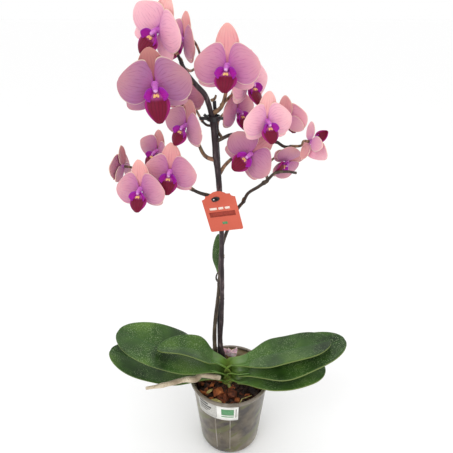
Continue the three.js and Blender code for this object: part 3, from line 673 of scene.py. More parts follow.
def ink_finish(name, dark, pale):
    ink = Finish(name, Specular_IOR_Level=0.3)
    rub = ink.cloud(900, 4)
    colour = ink.ramp(rub, (0.35, dark), (0.65, pale))
    return ink.done(colour, rough=ink.scaled(rub, 0.3, 0.4))


green_ink = ink_finish("green_ink", (66, 128, 84), (112, 164, 118))
grey_ink = ink_finish("grey_ink", (52, 50, 48), (96, 94, 90))
# the left panel's grey: the label's own grey with painted shade on the paper
panel_grey_and_shade_ink = ink_finish("panel_grey_and_shade_ink", (170, 168, 162), (206, 204, 198))
label_print = blade_mesh()
add_blade(label_print, label_patch(*LABEL_PANEL, PANEL_LIFT), 16, 4, PANEL_GREY_AND_SHADE)
for *patch, ink in LABEL_BARS:
    add_blade(label_print, label_patch(*patch, BAR_LIFT), 8, 3, ink)
label_inks = [green_ink, grey_ink, panel_grey_and_shade_ink]
finish_piece(label_print, "label_print", label_inks, [], wall=INK_THICKNESS)

# Crown
# The short stem of the plant: the folded yellow-green bases of the leaves clasp each other in
# two ranks, one on each side, and open like a stack of letters V.

CROWN_LOW, CROWN_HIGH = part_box("crown")
crown_centre = (CROWN_LOW + CROWN_HIGH) / 2
SHEATH_WALL = 2.2
SHEATH_PLACES = 60
SHEATH_RISE = 12  # how far a sheath climbs before it leans out
# side of the plant, the foot's height, where the fold opens into its leaf, and half its width
# there
SHEATHS = (
    (-1, 101, (-34, -6, 128), 14), (1, 106, (28, -10, 123), 14), (-1, 114, (-32, -5, 142), 15),
    (1, 119, (30, -9, 139), 15), (-1, 129, (-29, -6, 160), 13), (1, 133, (28, -6, 152), 13),
)


def sheath_surface(rank, foot, mouth, half):
    start = Vector((crown_centre.x / MM - rank, -2, foot))
    bend = (start.x + rank * 6, -3, foot + SHEATH_RISE)
    halfway = ((start.x + mouth[0]) / 2, mouth[1], (foot + SHEATH_RISE + mouth[2]) / 2)
    line = smooth_run([start, bend, halfway, mouth], SHEATH_PLACES)
    last = SHEATH_PLACES - 1

    def surface(side, reach):
        i = min(int(reach * last), last - 1)
        spine = line[i].lerp(line[i + 1], reach * last - i)
        run = (line[i + 1] - line[i]).normalized()
        across = Vector((0, 1, 0))
        up = run.cross(across) if rank > 0 else across.cross(run)
        up = -up if up.z < 0 else up
        width = half * (0.62 + 0.38 * reach) * MM
        fold = (0.95 - 0.35 * reach) * abs(side) ** 1.3
        return spine + across * side * width * 0.85 + up * fold * width - up * 1.5 * MM
    return surface


crown_skin = Finish("crown_skin", Specular_IOR_Level=0.5, Coat_Weight=0.15)
streak = crown_skin.cloud(46, 4, (1, 3, 1))
line_marks = crown_skin.cloud(300, 3, (0.3, 3, 0.3))
reach = crown_skin.part("Y", crown_skin.surface)
fresh = crown_skin.ramp(reach, (0, (138, 146, 72)), (0.4, (106, 138, 54)), (1, (70, 112, 42)))
crown_skin.done(
    crown_skin.mixed(crown_skin.fade(streak, 0.45, 0.7), fresh, (78, 104, 38)),
    rough=crown_skin.scaled(streak, 0.25, 0.28), height=line_marks, depth=0.0003,
)
for number, sheath in enumerate(SHEATHS, 1):
    bm = blade_mesh()
    add_blade(bm, sheath_surface(*sheath), 12, 16)
    finish_piece(
        bm, f"leaf_sheath_{number}", [crown_skin.material], ["crown"], wall=SHEATH_WALL,
        rounds=1,
    )

# the core's trunk, the two shoulders that the spikes leave from, and a stub of root in front
crown_core = stem_mesh("core", [
    ([(-3, -3, 100), (-3.5, -2, 112), (-4, -1, 126)], (9, 8.5, 6, 4)),
    ([(-3, -1, 112), (-9, 8, 120), (-10, 10.5, 130)], (5, 4.4, 3.4)),
    ([(-6, 2, 112), (-16, 8, 120), (-18.5, 10.8, 131)], (5, 4.4, 3.2)),
    ([(-2, -8, 112), (0, -17, 108), (1, -25, 106)], (3, 2.2, 1.8)),
], voxel=0.8, unevenness=0.15)
place_piece(crown_core, "crown_core", [crown_skin.material], ["crown"])

# Leaves
# Six thick strap leaves in two ranks. Each folds up gently from a sunk midrib and is deep glossy
# green with pale flecks, faint veins along it and a thin yellow-green margin.

LEAF_THICKNESS = 2.2
LEAF_ACROSS = 14
LEAF_ALONG = 40
LEAF_PLACES = 120
LEAF_BROADEST = 0.42  # where a blade is broadest, as a part of its length
LEAF_GROOVE = 0.9

# width, slope across in degrees at the base and further out, fold, bluntness of the tip, wave of
# the edge, and the midrib from the base
LEAVES = {
    "leaf_left_low": (
        68, (6, 8), 0.12, 2.6, 1.2,
        [(-20, -5, 123), (-62, -2, 134), (-103, -3, 142), (-142, -2, 153), (-176, 4, 166)],
    ),
    "leaf_left_large": (
        76, (6, 12), 0.12, 2.4, 1.4, [(-20, -3, 136), (-66, -6, 166), (-114, -6, 187), (-162, 8, 198)],
    ),
    "leaf_left_small": (
        46, (0, 0), 0.3, 1.7, 0.8, [(-19, -3, 149), (-47, -12, 180), (-71, -16, 190), (-102, -18, 189)],
    ),
    "leaf_right_low": (
        66, (6, 9), 0.12, 2.8, 1.2,
        [(14, -8, 119), (47, -12, 135), (81, -13, 139), (110, -11, 144), (139, -5, 144)],
    ),
    "leaf_right_middle": (
        72, (6, 10), 0.12, 2.2, 1.3,
        [(15, -6, 131), (51, -9, 152), (84, -9, 160), (118, -5, 171), (168, 8, 182)],
    ),
    "leaf_right_top": (
        56, (0, 2), 0.14, 3, 1.6, [(14, -4, 145), (46, -7, 163), (95, -7, 179), (144, 1, 187)],
    ),
}


def leaf_half_width(reach, blunt):
    """Half of a blade's width, as a part of its greatest width."""
    spread = min(1, reach / LEAF_BROADEST)
    spread = 0.36 + 0.64 * spread * spread * (3 - 2 * spread)
    past = max(0, (reach - LEAF_BROADEST) / (1 - LEAF_BROADEST))
    return 0.5 * spread * math.sqrt(1 - (0.995 * past) ** blunt)


def leaf_surface(width, slope, fold, blunt, wave, midrib):
    line = smooth_run(midrib, LEAF_PLACES + 1)
    phase = midrib[-1][0]

    def surface(side, evenly):
        reach = math.sin(evenly * math.pi / 2) ** 1.2
        place = reach * LEAF_PLACES
        i = min(int(place), LEAF_PLACES - 1)
        spine = line[i].lerp(line[i + 1], place - i)
        run = (line[min(i + 2, LEAF_PLACES)] - line[max(i - 1, 0)]).normalized()
        lean = math.radians(slope[0] + (slope[1] - slope[0]) * min(2 * reach, 1))
        across = Vector((0, math.cos(lean), math.sin(lean)))
        across = (across - run * across.dot(run)).normalized()
        up = across.cross(run)
        up = up if up.z > 0 else -up
        half = leaf_half_width(reach, blunt) * width * MM
        clasp = 0.55 * max(0, 1 - reach / 0.22) ** 1.5
        rise = (fold + clasp) * half * abs(side) ** 1.4
        groove = -LEAF_GROOVE * MM * math.exp(-((side / 0.1) ** 2)) * min(1, 3 * (1 - reach))
        ripple = wave * MM * side * abs(side) * math.sin(9 * reach + phase) * math.sin(math.pi * reach)
        return spine + across * side * half + up * (rise + groove + ripple)
    return surface


leaf_skin = Finish("leaf_skin", Specular_IOR_Level=0.32, Coat_Weight=0.06, Coat_Roughness=0.3)
side = leaf_skin.off_midline()
reach = leaf_skin.part("Y", leaf_skin.surface)
patch = leaf_skin.cloud(24, 4)
veins = leaf_skin.cloud(60, 2, (1.6, 0.04, 1), leaf_skin.surface)
flecks = leaf_skin.cells(640)
grit = leaf_skin.cloud(34, 2)
green = leaf_skin.ramp(patch, (0.3, (26, 46, 16)), (0.5, (52, 84, 28)), (0.72, (86, 118, 42)))
green = leaf_skin.mixed(leaf_skin.fade(veins, 0.55, 0.8), green, (54, 90, 36))
green = leaf_skin.mixed(leaf_skin.fade(side, 0.07, 0), green, (50, 84, 34))
green = leaf_skin.mixed(leaf_skin.fade(reach, 0.3, 0), green, (86, 122, 52))
spots = leaf_skin.math("MULTIPLY", leaf_skin.fade(flecks, 0.36, 0.12), leaf_skin.fade(grit, 0.3, 0.6))
green = leaf_skin.mixed(spots, green, (150, 174, 124))
green = leaf_skin.mixed(leaf_skin.fade(side, 0.972, 0.995), green, (108, 124, 62))
leaf_skin.done(
    green, rough=leaf_skin.scaled(patch, 0.28, 0.22), height=leaf_skin.math("ADD", veins, patch),
    depth=0.0006, strength=0.4,
)
for node, shape in LEAVES.items():
    bm = blade_mesh()
    add_blade(bm, leaf_surface(*shape), LEAF_ACROSS, LEAF_ALONG)
    finish_piece(
        bm, node + "_blade", [leaf_skin.material], [node], wall=LEAF_THICKNESS, rounds=1,
    )

# Flower spikes
# Two woody flower stems rise from the crown, one straight and clipped to the stick, one curving
# off to the right. They are purple-brown with pale mottling, and swell at each joint, where a
# small dry bract clasps the stem.

SPIKE_A = [
    (-6, 10.7, 120), (-10, 11.4, 146), (-14, 9, 175), (-12.3, 5, 220), (-11.4, 2, 257),
    (-11.1, 0.6, 284), (-11.3, 0, 323), (-11.2, 0, 360), (-12.5, 0, 401), (-13.6, 0, 420),
    (-15.2, 0, 443), (-17.4, 0, 461), (-18, 0, 475), (-18.8, 0, 487), (-20.3, -0.4, 501),
    (-21.7, -1, 511),
]
SPIKE_A_TOP = [
    (-21.5, -1, 508), (-24.5, -4, 521), (-28, -7, 531), (-36, -8, 540), (-47, 0, 552), (-57, 10, 570),
]
SPIKE_A_RIGHT = [
    (-18.5, 0, 478), (-12, 1, 481), (-1, 5, 485), (12, 7, 485), (24, 8, 483.5), (41, 12, 479.5),
    (54, 14, 474), (62, 12, 469.5), (70, 10, 470),
]
SPIKE_A_LEFT = [
    (-14, 0, 408), (-25, -1, 413), (-38, -0.5, 417), (-51, 2, 423), (-70, 6, 431), (-92, 11, 439),
]
SPIKE_A_STUB = [(-20, 0, 497), (-26, 4, 496), (-33, 12, 499)]
SPIKE_B = [
    (-18, 10.6, 124), (-21.4, 12, 146), (-22.6, 13.4, 164), (-22.3, 12.4, 200), (-19.6, 10.2, 232),
    (-16.4, 8.4, 262), (-14.4, 8.2, 290), (-13.6, 8.2, 312), (-12.2, 8.4, 332), (-8.4, 10, 348),
    (-3, 10.6, 364), (2.6, 9.6, 380), (9.2, 7.6, 393.6), (15.5, 4.8, 403.4), (20, 2.8, 414),
    (33.5, 0, 425), (42.6, -2, 433.4), (51, -3, 442.4), (64, -1, 443.6), (77, 2, 440.8),
]


JOINT_PLACES = 200  # how finely a stem is divided to find its joints
JOINT_HALF = 2.6  # half of the length of a joint's swelling
JOINT_SWELL = 1.32


def joints_on(points, shares, radius):
    """A swollen ring and a pointed bract at each share of the stem's length."""
    line = [place / MM for place in smooth_run(points, JOINT_PLACES + 1)]
    rings = []
    bracts = []
    for number, share in enumerate(shares):
        i = min(int(share * JOINT_PLACES), JOINT_PLACES - 3)
        here = line[i]
        run = (line[i + 3] - here).normalized()
        out = run.cross(Vector((0, 1, 0))).normalized() * (1 if number % 2 else -1)
        rings.append((
            [here - run * JOINT_HALF, here, here + run * JOINT_HALF],
            (radius * 0.9, radius * JOINT_SWELL, radius * 0.9),
        ))
        bud = here + out * radius * 0.55
        bracts.append((
            [here + out * radius * 0.2, bud + run * 3.4 + out * 0.5, bud + run * 6.5 + out * 0.5],
            (radius * 0.9, radius * 0.62, 0.35),
        ))
    return rings, bracts


def spike_finish(name, dark, middle, pale):
    skin = Finish(name, Specular_IOR_Level=0.3)
    mottle = skin.cloud(190, 5, (1, 1, 0.35))
    streaks = skin.cloud(520, 3, (1, 1, 0.12))
    wide = skin.cloud(22, 2)
    colour = skin.ramp(mottle, (0.36, dark), (0.55, middle), (0.72, pale))
    dusk = skin.mixed(skin.fade(wide, 0.42, 0.66), colour, dark)
    aged = skin.mixed(skin.fade(skin.part("Z", skin.place), 0.34, 0.44), colour, dusk)
    return skin.done(
        aged, rough=skin.scaled(mottle, 0.35, 0.3), height=skin.math("ADD", streaks, mottle),
        depth=0.0003, strength=0.6,
    )


purple_stem = spike_finish("purple_brown_stem", (34, 24, 28), (60, 47, 51), (120, 107, 107))
brown_stem = spike_finish("brown_branch", (50, 40, 36), (80, 68, 56), (128, 114, 92))
dry_bract = spike_finish("dry_bract", (92, 70, 44), (150, 122, 84), (188, 164, 122))
rings_a, bracts_a = joints_on(SPIKE_A, (0.13, 0.36, 0.53, 0.72, 0.86, 0.97), 2.9)
rings_top, bracts_top = joints_on(SPIKE_A_TOP, (0.3, 0.62, 0.86), 2)
rings_right, bracts_right = joints_on(SPIKE_A_RIGHT, (0.34, 0.56, 0.76), 1.9)
rings_left, bracts_left = joints_on(SPIKE_A_LEFT, (0.16, 0.4, 0.6, 0.8), 2)
rings_b, bracts_b = joints_on(SPIKE_B, (0.17, 0.42, 0.66, 0.78, 0.88), 2.4)
spike_a_mesh = stem_mesh("spike_a", [
    (SPIKE_A, (3.8, 3.5, 3.3, 3.2, 3.1, 3.2, 3.6, 3.8, 3.4)),
    (SPIKE_A_TOP, (3.1, 2.9, 2.4, 1.7)),
    *rings_a, *rings_top,
], voxel=0.7, unevenness=0.1)
place_piece(spike_a_mesh, "spike_a_stem", [purple_stem], ["spike_a"])
branch_mesh = stem_mesh("branches", [
    (SPIKE_A_RIGHT, (2.3, 2, 1.9, 1.8)), (SPIKE_A_LEFT, (2.4, 2.1, 1.9, 1.6)),
    (SPIKE_A_STUB, (1.7, 1.6, 1.5)), *rings_right, *rings_left,
], voxel=0.6, unevenness=0.12)
place_piece(branch_mesh, "spike_a_branches", [brown_stem], ["spike_a"])
spike_b_mesh = stem_mesh("spike_b", [
    (SPIKE_B, (3.4, 3.2, 2.9, 2.7, 2.5, 2.3, 2.1, 1.7)), *rings_b,
], voxel=0.7, unevenness=0.1)
place_piece(spike_b_mesh, "spike_b_stem", [brown_stem], ["spike_b"])
bracts = bracts_a + bracts_top + bracts_right + bracts_left + bracts_b
bract_mesh = stem_mesh("bracts", bracts, voxel=0.5)
place_piece(bract_mesh, "spike_bracts", [dry_bract], [])

# Flower stalks
# A slender olive to orange-brown stalk carries each flower from its joint on the spike and
# bends over behind the flower's back.

# where each flower's column stands, the way it faces in degrees from the front, how far it looks
# up, its roll, its span across the petals, how far the petals cup forward, how many degrees they
# are raised, and how long the top sepal is, as a part of the span
FLOWERS = [
    ((-74, 0, 592), -32, 0, 28, 64, 0.14, 26, 0.54),
    ((-76, -32, 544), 9, -5, -4, 71, 0.05, 15, 0.5),
    ((-4.5, -12, 559), -8, 8, 0, 66, 0.04, 12, 0.62),
    ((19, 20, 540), 50, 0, 0, 62, 0.08, 9, 0.54),
    ((7, 29, 507), 50, 0, 0, 56, 0.08, 9, 0.54),
    ((38.2, -12, 503.6), 22, 2, 0, 56, 0.1, 12, 0.57),
    ((66, 32, 497), 140, 0, 10, 50, 0.1, 9, 0.54),
    ((21.6, -3.4, 465), -15, 6, 45, 60, 0.06, 9, 0.54),
    ((90, -2, 479), 112, -12, 150, 46, 0.5, 9, 0.54),
    ((66, 17, 450), 20, -25, 80, 50, 0.1, 9, 0.54),
    ((-49, -10, 499), -38, 0, 16, 54, 0.16, 9, 0.54),
    ((-54, 19, 526), -6, 0, 5, 48, 0.05, 9, 0.54),
    ((-100, -32, 433.5), -18, 5, -4, 58, 0.05, 6, 0.58),
    ((-69, -14, 447.5), -6, 5, 4, 60, 0.05, 6, 0.56),
    ((-88, 24, 460), -42, 0, 18, 52, 0.18, 9, 0.54),
    ((-128, 8, 447), -105, 0, -5, 46, 0.14, 9, 0.54),
    ((-52, 33, 582), -52, 0, 18, 54, 0.1, 9, 0.54),
]
# the points of each flower's stalk from its joint, in the flowers' order
STALKS = [
    [(-56, 9, 568.4), (-64, 14, 582)], [(-38, -7, 542), (-58, -12, 548)],
    [(-21.4, -1, 510), (-13, 3, 514), (-5, 4, 536)], [(-11.6, 3.2, 518), (-2, 8, 526), (8, 19, 535)],
    [(-10, 1.8, 481.8), (-15, 14, 488), (-12, 30, 500)], [(22, 8, 484), (32, 6, 494)],
    [(50, 13.6, 476), (58, 18, 488)], [(-15, 0, 438), (-6, 6, 450), (8, 10, 460)],
    [(68, 12, 469.8), (80, 4, 473)], [(43, 0, 433), (43, 14, 438), (52, 26, 451)],
    [(-17, 0, 457), (-28, 2, 460), (-38, 4, 478)], [(-32, 11, 498.6), (-39, 30, 505), (-47, 39, 519)],
    [(-70, 6, 431), (-86, 4, 424), (-96, -12, 424)], [(-44, 0.6, 420), (-58, 0, 432)],
    [(-66, 5, 429.4), (-70, 16, 442)], [(-90, 10.6, 438), (-108, 12, 440)],
    [(-50, 3, 556), (-43, 20, 552), (-34, 37, 562)],
]
SECOND_SPIKE_FLOWER = 10
STALK_RADII = (2, 1.6, 1.4, 1.5, 1.8)
STOUT_STALKS = (3, 8, 11)  # flowers whose stalks are thick branches
STOUTNESS = 1.4
STALK_STRAIGHT = 7  # how much of a stalk's end runs straight into the flower's back
HUB = 0.055  # the flower's hub, as a part of its span
# two short stubs beside the joints, with their radii
STALK_STUBS = [
    ([(33.8, 8, 484), (36, 7, 490), (39, 5.5, 493)], (1.2, 0.7, 0.4)),
    ([(-22, -2.5, 524), (-17.6, -2.4, 526.4), (-16.4, -2.4, 530)], (1.8, 1.6, 1.2)),
]


def facing_frame(at, faces, lift, roll):
    """Where a flower or a card is and how it faces, with x its right, y its top and z its face."""
    turn, rise, spin = (math.radians(angle) for angle in (faces, lift, roll))
    out = Vector((math.sin(turn) * math.cos(rise), -math.cos(turn) * math.cos(rise), math.sin(rise)))
    right = Vector((math.cos(turn), math.sin(turn), 0))
    top = out.cross(right) * math.cos(spin) + right * math.sin(spin)
    rotation = Matrix((top.cross(out), top, out)).transposed().to_4x4()
    return Matrix.Translation(Vector(at) * MM) @ rotation


stalk_runs = {"spike_a": [], "spike_b": []}
for number, (flower, via) in enumerate(zip(FLOWERS, STALKS), 1):
    at, faces, lift, roll, span = flower[:5]
    place = facing_frame(at, faces, lift, roll)
    back = -HUB * span - 0.2
    near = place @ Vector((0, 0, (back - STALK_STRAIGHT) * MM)) / MM
    end = place @ Vector((0, 0, back * MM)) / MM
    spike = "spike_b" if number == SECOND_SPIKE_FLOWER else "spike_a"
    stout = STOUTNESS if number in STOUT_STALKS else 1
    stalk_runs[spike].append(([*via, near, end], [stout * radius for radius in STALK_RADII]))
stalk_skin = Finish("stalk_skin", Specular_IOR_Level=0.4)
flush = stalk_skin.cloud(40, 3)
mottle = stalk_skin.cloud(300, 4, (1, 1, 0.5))
stalk_skin.done(
    stalk_skin.mixed(
        stalk_skin.fade(mottle, 0.42, 0.66),
        stalk_skin.ramp(flush, (0.35, (98, 82, 52)), (0.55, (152, 112, 82)), (0.72, (176, 118, 112))),
        (78, 56, 46),
    ),
    rough=stalk_skin.scaled(mottle, 0.3, 0.32), height=mottle, depth=0.0002,
)
stalk_runs["spike_a"] += STALK_STUBS
for spike, slot in (("spike_a", "main_spike"), ("spike_b", "second_spike")):
    stalk_mesh = stem_mesh(spike, stalk_runs[spike], voxel=0.5, unevenness=0.1)
    place_piece(stalk_mesh, spike + "_stalks", [stalk_skin.material], [spike])

# Stem leaf
# A small dark leaf grew from a joint of the second spike. Its own short stalk passes the stick,
# and the blade stands up behind the stems.

STEM_LEAF_FOOT = (-15, 20.6, 288)
STEM_LEAF_LENGTH = 62
STEM_LEAF_WIDTH = 16
STEM_LEAF_BLUNT = 1.8
STEM_LEAF_BOW = 1.6
STEM_LEAF_CUP = 2
STEM_LEAF_WALL = 1.4
STEM_LEAF_STALK = [(-16.6, 10.2, 282.6), (-19.3, 14, 285), (-18.6, 18.4, 288.5), (-15.4, 20.5, 293)]


def stem_leaf_surface(side, reach):
    x, y, z = STEM_LEAF_FOOT
    bow = STEM_LEAF_BOW * math.sin(math.pi * reach)
    across = side * STEM_LEAF_WIDTH * leaf_half_width(reach, STEM_LEAF_BLUNT)
    return Vector((x - bow + across, y + STEM_LEAF_CUP * side * side, z + STEM_LEAF_LENGTH * reach)) * MM


bm = blade_mesh()
add_blade(bm, stem_leaf_surface, 8, 18)
finish_piece(
    bm, "stem_leaf_blade", [leaf_skin.material], ["stem_leaf"], wall=STEM_LEAF_WALL,
    rounds=1,
)
own_stalk = stem_mesh("leaf_stalk", [(STEM_LEAF_STALK, (1.5, 1.2, 1.1, 0.7))], unevenness=0.1)
place_piece(own_stalk, "stem_leaf_stalk", [brown_stem], ["stem_leaf"])

# Stick and clip
# A thin near-black stick runs down behind the spike into the bark, and a black plastic clip with
# finger tabs holds the spike to it.

STICK = [
    (-16, 17, 40), (-16.6, 18.6, 166), (-16.6, 18.4, 214), (-15.4, 17.4, 251), (-13.8, 16, 286),
    (-12.8, 14.8, 326), (-12.6, 13.2, 363), (-13, 9.6, 410), (-14.2, 8.4, 449), (-15.8, 8, 479),
    (-17.4, 8, 503), (-18.6, 8, 522),
]
STICK_RADIUS = 2.1
stick_skin = Finish("stick_skin", Specular_IOR_Level=0.4)
fibre = stick_skin.cloud(700, 4, (1, 1, 0.05))
stick_skin.done(
    stick_skin.ramp(fibre, (0.35, (22, 23, 28)), (0.6, (44, 44, 50)), (0.8, (78, 76, 80))),
    rough=stick_skin.scaled(fibre, 0.3, 0.35), height=fibre, depth=0.0002,
)
stick_mesh = stem_mesh("stick", [(STICK, (STICK_RADIUS, STICK_RADIUS))])
place_piece(stick_mesh, "stick_rod", [stick_skin.material], ["support_stick"])


def refinish(node, finish):
    """Gives its finish to a node that keeps the shape that it has in the frame."""
    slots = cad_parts[node].data.materials
    slots.clear()
    slots.append(finish.material)


black_plastic = Finish("black_clip_plastic", Specular_IOR_Level=0.5)
wear = black_plastic.cloud(380, 4)
black_plastic.done(
    black_plastic.ramp(wear, (0.35, (14, 14, 16)), (0.7, (38, 38, 42))),
    rough=black_plastic.scaled(wear, 0.3, 0.25), height=wear, depth=0.0002,
)
refinish("stick_clip", black_plastic)
refinish("tag_hook", black_plastic)

# Gift tag
# A coral card with a scalloped head, hung from the spike by a black hook through its slot. It is
# left without lettering: plain bars in white, brick red and green stand where print would be.

TAG_MIDDLE = (-10.6, -16, 399.9)
TAG_FACING = -13
TAG_LEANS_BACK = -4
TAG_ROLL = -13.5
TAG_THICKNESS = 0.8
WHITE, BRICK, LEAF_GREEN = range(3)
# left, right, bottom and top of each bar from the middle of the card
TAG_BARS = (
    (-14, -5, 2.8, 5.8, WHITE), (-3, 3, 2.8, 5.8, WHITE), (5, 11, 2.8, 5.8, WHITE),
    (-16, 16, -6.5, 0, BRICK), (-3, 3.4, -17, -13.6, LEAF_GREEN),
)
SLOT_PLACE = (-3.5, 16.6)
SLOT_HALF = (4.9, 2)
SLOT_TURN = 0.15
SLOT_STEPS = 12
LOOP_RADIUS = 1.1

card = Finish("coral_card", Specular_IOR_Level=0.35, Sheen_Weight=0.1)
pulp = card.cloud(900, 4)
light = card.cloud(30, 3)
coral = card.ramp(light, (0.3, (196, 84, 62)), (0.7, (212, 100, 78)))
card.done(
    card.mixed(card.fade(pulp, 0.4, 0.7), coral, (204, 92, 70)),
    rough=card.scaled(pulp, 0.2, 0.45), height=pulp, depth=0.0001,
)
refinish("gift_tag", card)
white_ink = ink_finish("white_ink", (236, 214, 200), (248, 236, 226))
brick_ink = ink_finish("brick_ink", (140, 48, 36), (166, 64, 48))
tag_frame = facing_frame(TAG_MIDDLE, TAG_FACING, TAG_LEANS_BACK, TAG_ROLL)


def tag_bar(left, right, bottom, top):
    def surface(side, reach):
        across = left + (right - left) * (side + 1) / 2
        up = bottom + (top - bottom) * reach
        return tag_frame @ (Vector((across, up, TAG_THICKNESS + INK_THICKNESS)) * MM)
    return surface


# the hook's flat black loop fills the rim of the card's slot
loop_line = []
for i in range(SLOT_STEPS + 1):
    angle = 2 * math.pi * i / SLOT_STEPS
    wide = SLOT_HALF[0] * math.cos(angle)
    high = SLOT_HALF[1] * math.sin(angle)
    across = wide * math.cos(SLOT_TURN) - high * math.sin(SLOT_TURN)
    up = wide * math.sin(SLOT_TURN) + high * math.cos(SLOT_TURN)
    rim = Vector((SLOT_PLACE[0] + across, SLOT_PLACE[1] + up, TAG_THICKNESS))
    loop_line.append(tag_frame @ (rim * MM) / MM)
loop_mesh = stem_mesh("hook_loop", [(loop_line, (LOOP_RADIUS, LOOP_RADIUS))])
place_piece(loop_mesh, "tag_hook_loop", [black_plastic.material], [])

tag_print = blade_mesh()
for *bar, ink in TAG_BARS:
    add_blade(tag_print, tag_bar(*bar), 4, 2, ink)
tag_inks = [white_ink, brick_ink, green_ink]
finish_piece(tag_print, "tag_print", tag_inks, [], wall=INK_THICKNESS)

# Flowers
# Seventeen moth-orchid flowers. Two broad petals overlap three narrower sepals, all thin, veined
# and mauve to peach with a fine cream margin. The lip has two upright violet lobes and a wine-red
# shield below a yellow callus; the mauve column and its pale anther cap stand over it.

PETAL_WALL = 0.8
LIP_WALL = 0.9
LIP_DROP = 0.31  # how far the lip's point hangs below its claw, as a part of the span
LOW_LIP = 0.4  # the same for the flower whose lip hangs lowest
LOW_LIP_FLOWER = 2
# lengths and widths as parts of the span, and ways in degrees anticlockwise from the right
PETAL_SIZE = (0.5, 0.6)
TOP_SEPAL_WIDTH = 0.36
SIDE_SEPAL_SIZE = (0.5, 0.34)
SIDE_SEPAL_WAYS = (212, 328)
PETAL_RISE = 0.9  # how far the petals start in front of the hub's middle
SEPAL_RISE = -1.2


def petal_skin(name, stripes, inner, middle, outer, stripe):
    skin = Finish(
        name, Subsurface_Weight=0.12, Subsurface_Scale=0.003, Specular_IOR_Level=0.35,
        Sheen_Weight=0.15,
    )
    skin.shader.inputs["Subsurface Radius"].default_value = (1, 0.4, 0.4)
    across = skin.part("X", skin.surface)
    reach = skin.part("Y", skin.surface)
    side = skin.off_midline()
    wander = skin.cloud(5, 3, (1, 1, 1), skin.surface)
    drift = skin.cloud(24, 2)
    where = skin.math("ADD", reach, skin.scaled(drift, 0.7, -0.35))
    colour = skin.ramp(where, (0.1, inner), (0.42, middle), (0.85, outer))
    fan = skin.math("ADD", skin.math("MULTIPLY", across, stripes), skin.math("MULTIPLY", wander, 5))
    ridge = skin.math("SINE", fan)
    fine = skin.math("SINE", skin.scaled(fan, 2.3, 1))
    faint = skin.math("MULTIPLY", skin.fade(fine, 0.75, 1), 0.6)
    vein = skin.math("MAXIMUM", skin.fade(ridge, 0.7, 1), faint)
    broken = skin.fade(skin.cloud(7, 3, (3, 1, 1), skin.surface), 0.34, 0.62)
    vein = skin.math("MULTIPLY", skin.math("MULTIPLY", vein, broken), skin.fade(reach, 1.1, 0.4))
    colour = skin.mixed(skin.math("MULTIPLY", vein, 0.46), colour, stripe)
    edge = skin.math("MAXIMUM", skin.fade(side, 0.93, 0.99), skin.fade(reach, 0.965, 0.995))
    colour = skin.mixed(skin.math("MULTIPLY", edge, 0.85), colour, (238, 216, 186))
    glow = skin.fade(reach, 0.2, 0.02)
    colour = skin.mixed(skin.math("MULTIPLY", glow, 0.8), colour, (176, 66, 172))
    skin.done(
        colour, rough=skin.scaled(wander, 0.2, 0.4), height=skin.math("ADD", vein, wander),
        depth=0.0004, strength=0.5,
    )
    return skin.material


# the petals' inner, middle and outer colour and their veins, then the same for the sepals
# The two darkest tints, for flowers 2, 8, 10, 11, 15 and 16, are the same bloom colour painted darker:
# painted shade on flowers that hang in shadow lower down and behind the others.
BLOOMS = {
    "shaded": (
        ((164, 78, 140), (164, 102, 146), (184, 130, 142), (136, 58, 108)),
        ((150, 64, 100), (152, 80, 90), (184, 120, 114), (128, 48, 70)),
    ),
    "dusky_painted_shade": (
        ((172, 86, 148), (184, 120, 152), (202, 146, 152), (148, 68, 116)),
        ((172, 96, 128), (188, 118, 128), (208, 146, 140), (146, 64, 88)),
    ),
    "rose": (
        ((182, 94, 160), (196, 126, 160), (218, 160, 166), (160, 76, 128)),
        ((196, 110, 150), (222, 148, 154), (236, 172, 164), (178, 82, 108)),
    ),
    "pale": (
        ((206, 122, 182), (232, 164, 188), (246, 190, 196), (190, 104, 146)),
        ((212, 130, 162), (234, 162, 168), (244, 184, 178), (190, 96, 122)),
    ),
}
# the darkest two tints carry painted shade for the flowers that hang in shadow
FLOWER_SHADES = {"shaded": (2,), "dusky_painted_shade": (8, 10, 11, 15, 16), "rose": (3, 5, 12, 13, 14, 17)}
bloom_finishes = {
    shade: (
        petal_skin(shade + "_petal_skin", 74, *petal), petal_skin(shade + "_sepal_skin", 46, *sepal),
    )
    for shade, (petal, sepal) in BLOOMS.items()
}


def lip_skin(name, centre, rim, vein_colour, centre_reach):
    skin = Finish(name, Subsurface_Weight=0.06, Subsurface_Scale=0.002, Specular_IOR_Level=0.2)
    side = skin.off_midline()
    wander = skin.cloud(6, 3, (1, 1, 1), skin.surface)
    fan = skin.scaled(skin.part("X", skin.surface), 46, skin.math("MULTIPLY", wander, 4))
    vein = skin.fade(skin.math("SINE", fan), 0.5, 1)
    colour = skin.mixed(skin.fade(side, centre_reach, 1), centre, rim)
    colour = skin.mixed(skin.math("MULTIPLY", vein, 0.5), colour, vein_colour)
    colour = skin.mixed(skin.fade(skin.part("Y", skin.surface), 0.3, 0.1), colour, (188, 84, 168))
    skin.done(colour, rough=skin.scaled(wander, 0.2, 0.42), height=vein, depth=0.0003)
    return skin.material


shield_finish = lip_skin("lip_shield_skin", (114, 4, 44), (168, 24, 128), (82, 2, 32), 0.62)
wing_finish = lip_skin("lip_wing_skin", (172, 28, 160), (158, 40, 170), (124, 12, 124), 0.4)

